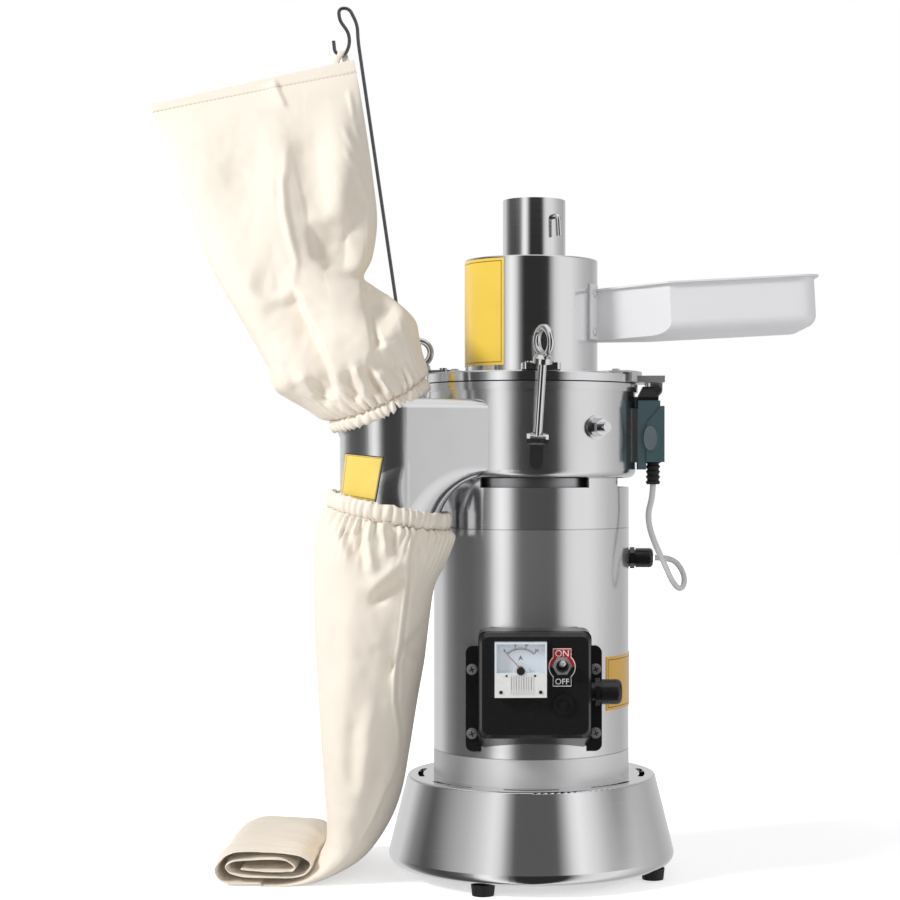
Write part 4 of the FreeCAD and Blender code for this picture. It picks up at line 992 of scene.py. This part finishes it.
def ruffle(theta, seed):
    """Uneven gathers of the elastic hem, from -1 to 1, sharp in the dents and round outside."""
    drift = noise.noise(Vector((2.1 * math.cos(theta), 2.1 * math.sin(theta), seed)))
    size = 0.8 + 0.6 * noise.noise(Vector((6 * math.cos(theta), 6 * math.sin(theta), seed + 7)))
    wave = math.sin(PUCKERS / 2 * (theta + 0.3 * drift))
    return size * (1 - 2 * (1 - abs(wave)) ** 1.3)


# Rows of the flat hem at a bag's far end, its cloth's thickness, and the elastic casing's
# profile: out from the pipe, along it, and depth of the gathers
HEM_BAND = 0.95
HEM_THICK = 0.8
HEM_PROFILE = [(0.7, 8, 0.0), (0.8, 3, 0.2), (1.3, 0.6, 0.6), (2.4, -0.6, 1.0), (3.6, 0.2, 1.3),
               (4.4, 2.2, 1.4), (4.7, 5, 1.4), (4.6, 8, 1.4), (4.0, 10.6, 1.2), (2.9, 12.4, 1.0),
               (1.9, 13.4, 0.9), (2.2, 14.4, 0.9)]
SAG_FADES = 14
GATHER_DEPTH = 3.6
LIMP_UNDER = 40


def front_sag(sin, sag):
    return sag * np.maximum(0, -sin) ** 1.5


def hem_rings(centre, across, along, radius, seed, height, sag):
    """Rings of an elastic casing round a pipe, from its inner lip over its frill to the gather line."""
    rings = []
    back = Vector((0, 1, 0))
    for out, step, gather in HEM_PROFILE:
        ring = []
        for k in range(AROUND):
            theta = 2 * math.pi * k / AROUND
            r = radius + out + gather * ruffle(theta, seed)
            lift = step * height + 1.1 * gather * ruffle(theta + 0.05, seed + 3)
            lift -= front_sag(math.sin(theta), sag)
            ring.append((centre + (across * math.cos(theta) + back * math.sin(theta)) * r + along * lift)[:])
        rings.append(ring)
    return np.array(rings)


def body_rings(rows, per_step, folds, seed, gathers, along, sag):
    """Rings of a bag's body. A row is left x, left z, right x, right z, middle y, half depth, squareness."""
    angles = [2 * math.pi * k / AROUND for k in range(AROUND)]
    cos = np.cos(angles)
    sin = np.sin(angles)
    gather = np.array([ruffle(theta, seed) for theta in angles])
    rings = []
    gone = 0.0
    before = None
    steps = (len(rows) - 1) * per_step
    for j in range(1, steps + 1):
        lx, lz, rx, rz, middle_y, depth, square = blend_rows(rows, j / per_step)
        lx, lz = at_depth(lx, lz, middle_y)
        rx, rz = at_depth(rx, rz, middle_y)
        middle = np.array([(lx + rx) / 2, middle_y, (lz + rz) / 2])
        gone += 0 if before is None else np.linalg.norm(middle - before)
        before = middle
        power = 2 / square
        reach = np.copysign(abs(cos) ** power, cos)
        deep = np.copysign(abs(sin) ** power, sin)
        ring = np.empty((AROUND, 3))
        ring[:, 0] = middle[0] + (rx - lx) / 2 * reach
        ring[:, 1] = middle[1] + depth * deep
        ring[:, 2] = middle[2] + (rz - lz) / 2 * reach
        ring -= np.array(along[:]) * (front_sag(sin, sag) * math.exp(-gone / SAG_FADES))[:, None]
        wave = gather * GATHER_DEPTH * math.exp(-gone / gathers)
        half = math.hypot(rx - lx, rz - lz) / 2
        out = np.stack([reach * (rx - lx) / 2 / half, deep, reach * (rz - lz) / 2 / half], axis=1)
        out /= np.maximum(1e-6, np.linalg.norm(out, axis=1))[:, None]
        if len(rows) - 1 - j / per_step < HEM_BAND:
            ring[:, 1] += HEM_THICK * np.sign(deep)
        rings.append(ring + out * wave[:, None])
    rings = np.array(rings)
    sides = np.broadcast_to(sin, rings.shape[:2])
    front = np.maximum(0, -sides) ** 0.5
    near = 1 + rings[:, :, 1] / DISTANCE
    seen_x = rings[:, :, 0] / near
    seen_z = EYE_Z + (rings[:, :, 2] - EYE_Z) / near
    lift = sum(fold(seen_x, seen_z) for fold in folds) * front
    thick = np.ptp(rings[:, :, 1], axis=1)[:, None]
    slow, mid, fine = [np.array([[soft_noise(spot, scale, seed + more) for spot in ring] for ring in rings])
                       for scale, more in ((0.014, 0), (0.040, 5), (0.11, 9))]
    loose = 2.0 * slow + 1.6 * mid + 0.7 * fine
    limp = np.clip(thick / LIMP_UNDER, 0.1, 1)
    rings[:, :, 1] -= (lift + loose * front * limp)
    rings[:, :, 1] += (6.0 * slow + 4.5 * mid + 0.9 * fine) * np.maximum(0, sides) ** 0.5 * limp
    return rings


def soft_noise(at, scale, seed):
    return noise.noise(Vector((at[0] * scale + seed, at[1] * scale, at[2] * scale)))


def tube_mesh(rings):
    """A tube through the rings, its last one sewn flat, with a UV map in metres along the cloth."""
    rings = rings * MM
    bm = bmesh.new()
    layer = bm.loops.layers.uv.new("cloth")
    grid = [[bm.verts.new(p) for p in ring] for ring in rings]
    girth = 0.36
    runs = np.linalg.norm(np.diff(rings, axis=0), axis=2).max(axis=1)
    along = np.concatenate([[0.0], np.cumsum(runs)])
    n = AROUND
    for j in range(len(rings) - 1):
        for k in range(n):
            m = (k + 1) % n
            face = bm.faces.new((grid[j][k], grid[j][m], grid[j + 1][m], grid[j + 1][k]))
            spots = ((k, j), (k + 1, j), (k + 1, j + 1), (k, j + 1))
            for loop, (u, v) in zip(face.loops, spots):
                loop[layer].uv = (girth * u / n, along[v])
    last = grid[-1]
    for k in range(n // 2):
        corners = list(dict.fromkeys((last[k], last[k + 1], last[-k - 1], last[-k % n])))
        if len(corners) > 2:
            bm.faces.new(corners)
    bmesh.ops.recalc_face_normals(bm, faces=bm.faces)
    return taken(bm)


COLLAR_LEAN = math.radians(24.1)
COLLAR_R = 39.4
KNEE = Vector((-115.2, PIPE_Y, 371.7))
ROW_STEPS = 10
UPPER_ROWS = [
    (-173.8, 389.8, -94.0, 425.4, -70, 42, 2.0),
    (-182.0, 391.5, -91.0, 429.5, -70, 45, 2.0),
    (-196.0, 399.5, -91.5, 437.0, -70, 48, 2.0),
    (-212.0, 408.0, -94.5, 447.5, -70, 52, 2.1),
    (-221.5, 415.5, -97.0, 461.0, -69, 54, 2.2),
    (-226.5, 432.0, -101.0, 476.0, -67, 53, 2.2),
    (-234.0, 447.0, -117.5, 492.0, -61, 49, 2.3),
    (-247.7, 471.3, -137.0, 505.0, -56, 45, 2.3),
    (-263.5, 498.0, -145.0, 513.0, -50, 41, 2.3),
    (-280.5, 531.0, -137.5, 530.0, -42, 37, 2.3),
    (-294.7, 569.6, -133.4, 561.0, -32, 31, 2.2),
    (-306.7, 602.0, -137.0, 598.0, -23, 24, 2.1),
    (-316.5, 629.0, -143.0, 641.0, -14, 16, 2.0),
    (-324.2, 648.0, -149.0, 677.0, -8, 6, 1.8),
    (-327.0, 655.0, -151.5, 689.5, -5.5, 2.4, 1.8),
    (-329.2, 661.4, -153.3, 700.3, -4, 1.2, 1.8),
]


def upper_bag():
    """Dust bag on the leaning collar, hanging by its flat sewn end."""
    up = Vector((-math.sin(COLLAR_LEAN), 0, math.cos(COLLAR_LEAN)))
    across = Vector((math.cos(COLLAR_LEAN), 0, math.sin(COLLAR_LEAN)))
    sag = 8.5
    hem = hem_rings(KNEE + up * 25 + across * 1.5, across, up, COLLAR_R, 3.0, 0.72, sag)
    body = body_rings(UPPER_ROWS, ROW_STEPS, UPPER_FOLDS, 11.0, 11.0, up, sag)
    bag = new_piece("dust_bag_upper", tube_mesh(np.concatenate([hem, body])), bpy.data.materials["cotton"],
                    "stand")
    bag.visible_glossy = False
    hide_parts("upper_bag")
    top = round(HEM_BAND * ROW_STEPS)
    return hem[-2], body[-1 - top]


LOWER_ROWS = [
    (-175.5, 311.5, -72.0, 294.0, -70, 48, 2.0),
    (-180.0, 306.0, -66.6, 288.5, -70, 50, 2.0),
    (-185.0, 296.0, -68.0, 279.5, -70, 51, 2.0),
    (-187.3, 279.0, -74.5, 263.5, -69, 54, 2.1),
    (-187.8, 252.0, -83.8, 244.5, -66, 55, 2.2),
    (-187.0, 214.0, -88.7, 213.0, -60, 59, 2.3),
    (-185.3, 181.4, -92.5, 181.4, -52, 64, 2.3),
    (-182.8, 144.0, -99.1, 144.0, -42, 69, 2.3),
    (-179.9, 102.0, -105.6, 104.0, -29, 74, 2.3),
    (-176.9, 69.0, -112.7, 66.6, -15, 78, 2.3),
    (-175.0, 45.0, -124.5, 38.4, -1, 79, 2.3),
    (-175.5, 30.0, -143.0, 16.0, 8, 82, 2.4),
    (-184.0, 14.5, -172.0, 3.2, 12, 84, 2.6),
    (-200.0, 5.6, -197.0, 1.4, 13, 84, 3.0),
    (-222.0, 4.2, -222.0, 0.9, 13, 84, 3.0),
]
SPIRAL = [(-222, 2.5), (-245, 2.4), (-257, 4.8), (-263, 13), (-259, 22), (-247, 27.6), (-222, 28.8),
          (-198, 27.6), (-186, 22), (-184, 14.5), (-190, 9.2), (-207, 7.6), (-235, 8), (-250, 10.5),
          (-253.5, 16), (-247, 21), (-230, 22.6), (-207, 21.6), (-197.5, 18), (-198, 14.2), (-206, 12.6),
          (-225, 13), (-241, 14.6)]
ROLL_Y = 13.0
ROLL_HALF = 84.0
CLOTH = 1.4


def spiral_rings():
    """The bag's flat end, rolled up on the floor."""
    rings = []
    per_step = 6
    total = (len(SPIRAL) - 1) * per_step
    places = [blend_rows(SPIRAL, j / per_step) for j in range(total + 1)]
    for j in range(1, total + 1):
        x, z = places[j]
        bx, bz = places[j - 1]
        ax, az = places[min(total, j + 1)]
        size = math.hypot(ax - bx, az - bz)
        nx, nz = -(az - bz) / size, (ax - bx) / size
        ring = []
        for k in range(AROUND):
            theta = 2 * math.pi * k / AROUND
            c, s = math.cos(theta), math.sin(theta)
            thick = CLOTH * math.copysign(abs(c) ** 0.5, c)
            y = ROLL_Y + ROLL_HALF * math.copysign(abs(s) ** 0.75, s)
            y += 2.6 * noise.noise(Vector((j * 0.12, 3.0, 1.0))) * math.copysign(1, s)
            wave = 1.7 * noise.noise(Vector((j * 0.11, y * 0.04, 5.0))) * min(1.0, j / 12)
            wave += 0.5 * noise.noise(Vector((j * 0.3, y * 0.15, 9.0))) * min(1.0, j / 12)
            px = x - nx * (thick - wave)
            pz = z - nz * (thick - wave)
            ring.append((px, y, max(pz, 0.5)))
        rings.append(ring)
    return np.array(rings)


def lower_bag():
    """Meal bag on the downward pipe, its end rolled up on the floor."""
    lean = math.radians(11.5)
    along = Vector((-math.sin(lean), 0, -math.cos(lean)))
    across = Vector((math.cos(lean), 0, -math.sin(lean)))
    sag = -1.5
    hem = hem_rings(Vector((PIPE_X, PIPE_Y, 319)), across, along, 47.0, 21.0, 1.0, sag)
    body = body_rings(LOWER_ROWS, ROW_STEPS, LOWER_FOLDS, 31.0, 11.0, along, sag)
    bag = new_piece("dust_bag_lower", tube_mesh(np.concatenate([hem, body, spiral_rings()])),
                    bpy.data.materials["cotton"], "stand")
    bag.visible_glossy = False
    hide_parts("lower_bag")
    return hem[-2]


def repeat_tree():
    """Geometry Nodes: small bars, one every Pitch along the edges of a path."""
    group = bpy.data.node_groups.new("bars_along_path", "GeometryNodeTree")
    sockets = group.interface
    sockets.new_socket("Path", in_out="INPUT", socket_type="NodeSocketGeometry")
    for name in ("Pitch", "Length", "Thickness"):
        sockets.new_socket(name, in_out="INPUT", socket_type="NodeSocketFloat")
    sockets.new_socket("Finish", in_out="INPUT", socket_type="NodeSocketMaterial")
    sockets.new_socket("Bars", in_out="OUTPUT", socket_type="NodeSocketGeometry")
    tree = Tree(group)
    entry = group.nodes.new("NodeGroupInput")
    path, pitch, length, thick, finish = [Wire(tree, entry.outputs[k]) for k in range(5)]
    curve = tree.node("GeometryNodeMeshToCurve", {}, [path])
    points = tree.node("GeometryNodeCurveToPoints", {"mode": "LENGTH"}, {"Curve": curve, "Length": pitch})
    tangent = Wire(tree, points.socket.node.outputs["Tangent"])
    turn = tree.node("FunctionNodeAlignRotationToVector", {"axis": "Z"}, {"Vector": tangent})
    size = tree.node("ShaderNodeCombineXYZ", {}, [thick, thick, length])
    bar = tree.node("GeometryNodeMeshCube", {}, {"Size": size})
    placing = {"Points": points, "Instance": bar, "Rotation": turn}
    bars = tree.node("GeometryNodeInstanceOnPoints", {}, placing)
    real = tree.node("GeometryNodeRealizeInstances", {}, [bars])
    coloured = tree.node("GeometryNodeSetMaterial", {}, {"Geometry": real, "Material": finish})
    leave = group.nodes.new("NodeGroupOutput")
    group.links.new(coloured.socket, leave.inputs[0])
    return group


def bars_along(group, path, **values):
    """The tree's bars along a closed row of points in millimetres, as a plain mesh."""
    mesh = bpy.data.meshes.new("path")
    count = len(path)
    mesh.from_pydata([(Vector(p) * MM)[:] for p in path], [(k, (k + 1) % count) for k in range(count)], [])
    holder = in_scene("holder", mesh)
    modifier = holder.modifiers.new("bars", "NODES")
    modifier.node_group = group
    for item in group.interface.items_tree:
        if item.in_out == "INPUT" and item.name in values:
            modifier[item.identifier] = values[item.name]
    result = baked(holder)
    bpy.data.objects.remove(holder)
    return result


def seam_stitches(rows):
    """Thread stitches along the bags' seams."""
    thread = plastic("thread", (0.60, 0.50, 0.43), 0.85, 2500, 0.0001)
    group = repeat_tree()
    meshes = []
    for row, out in rows:
        middle = row.mean(axis=0)
        away = row - middle
        away /= np.maximum(1e-6, np.linalg.norm(away, axis=1))[:, None]
        meshes.append(bars_along(group, row + away * out, Pitch=3.6 * MM, Length=2.3 * MM,
                                 Thickness=0.45 * MM, Finish=thread))
    new_piece("bag_stitches", joined(meshes), thread, "stand", smooth=False)


LOOP = [(-169.0, -3.6, 695.0), (-168.0, 0.6, 700.5), (-166.2, 5.6, 705.2), (-165.0, 6.0, 707.6),
        (-164.0, 8.0, 709.1), (-163.2, 10.0, 707.6), (-162.2, 10.4, 705.2), (-161.0, 4.6, 700.0),
        (-160.0, -2.6, 696.0)]


def hanging_loop():
    """Cotton tape that hangs the bag's corner on the wire hook."""
    per_step = 8
    total = (len(LOOP) - 1) * per_step
    path = [Vector(blend_rows(LOOP, j / per_step)) for j in range(total + 1)]
    half = 2.6
    across_steps = 5
    bm = bmesh.new()
    layer = bm.loops.layers.uv.new("cloth")
    rows = []
    for j, at in enumerate(path):
        run = (path[min(total, j + 1)] - path[max(0, j - 1)]).normalized()
        across = Vector((1, 0, 0)) - run * run.x
        across.normalize()
        curl = run.cross(across)
        rows.append([bm.verts.new((at + across * half * t + curl * 0.5 * (t * t - 0.5)) * MM)
                     for t in np.linspace(-1, 1, across_steps)])
    grid_faces(bm, layer, rows, 1.3 * MM, 0.6 * MM)
    mesh = thickened(taken(bm), 0.9 * MM, 0)
    new_piece("hanging_loop", mesh, bpy.data.materials["cotton"], "stand")


make_stage()
dress_nodes()
switch_cable()
meter_scale()
meter_trim()
switch_words()
plate_outline()
screw_crosses()
meter_ribs()
duct_label()
switch_badge()
upper_gathers, upper_band = upper_bag()
lower_gathers = lower_bag()
seam_stitches([(upper_gathers, 0.9), (upper_band, 0.1), (lower_gathers, 0.9)])
hanging_loop()
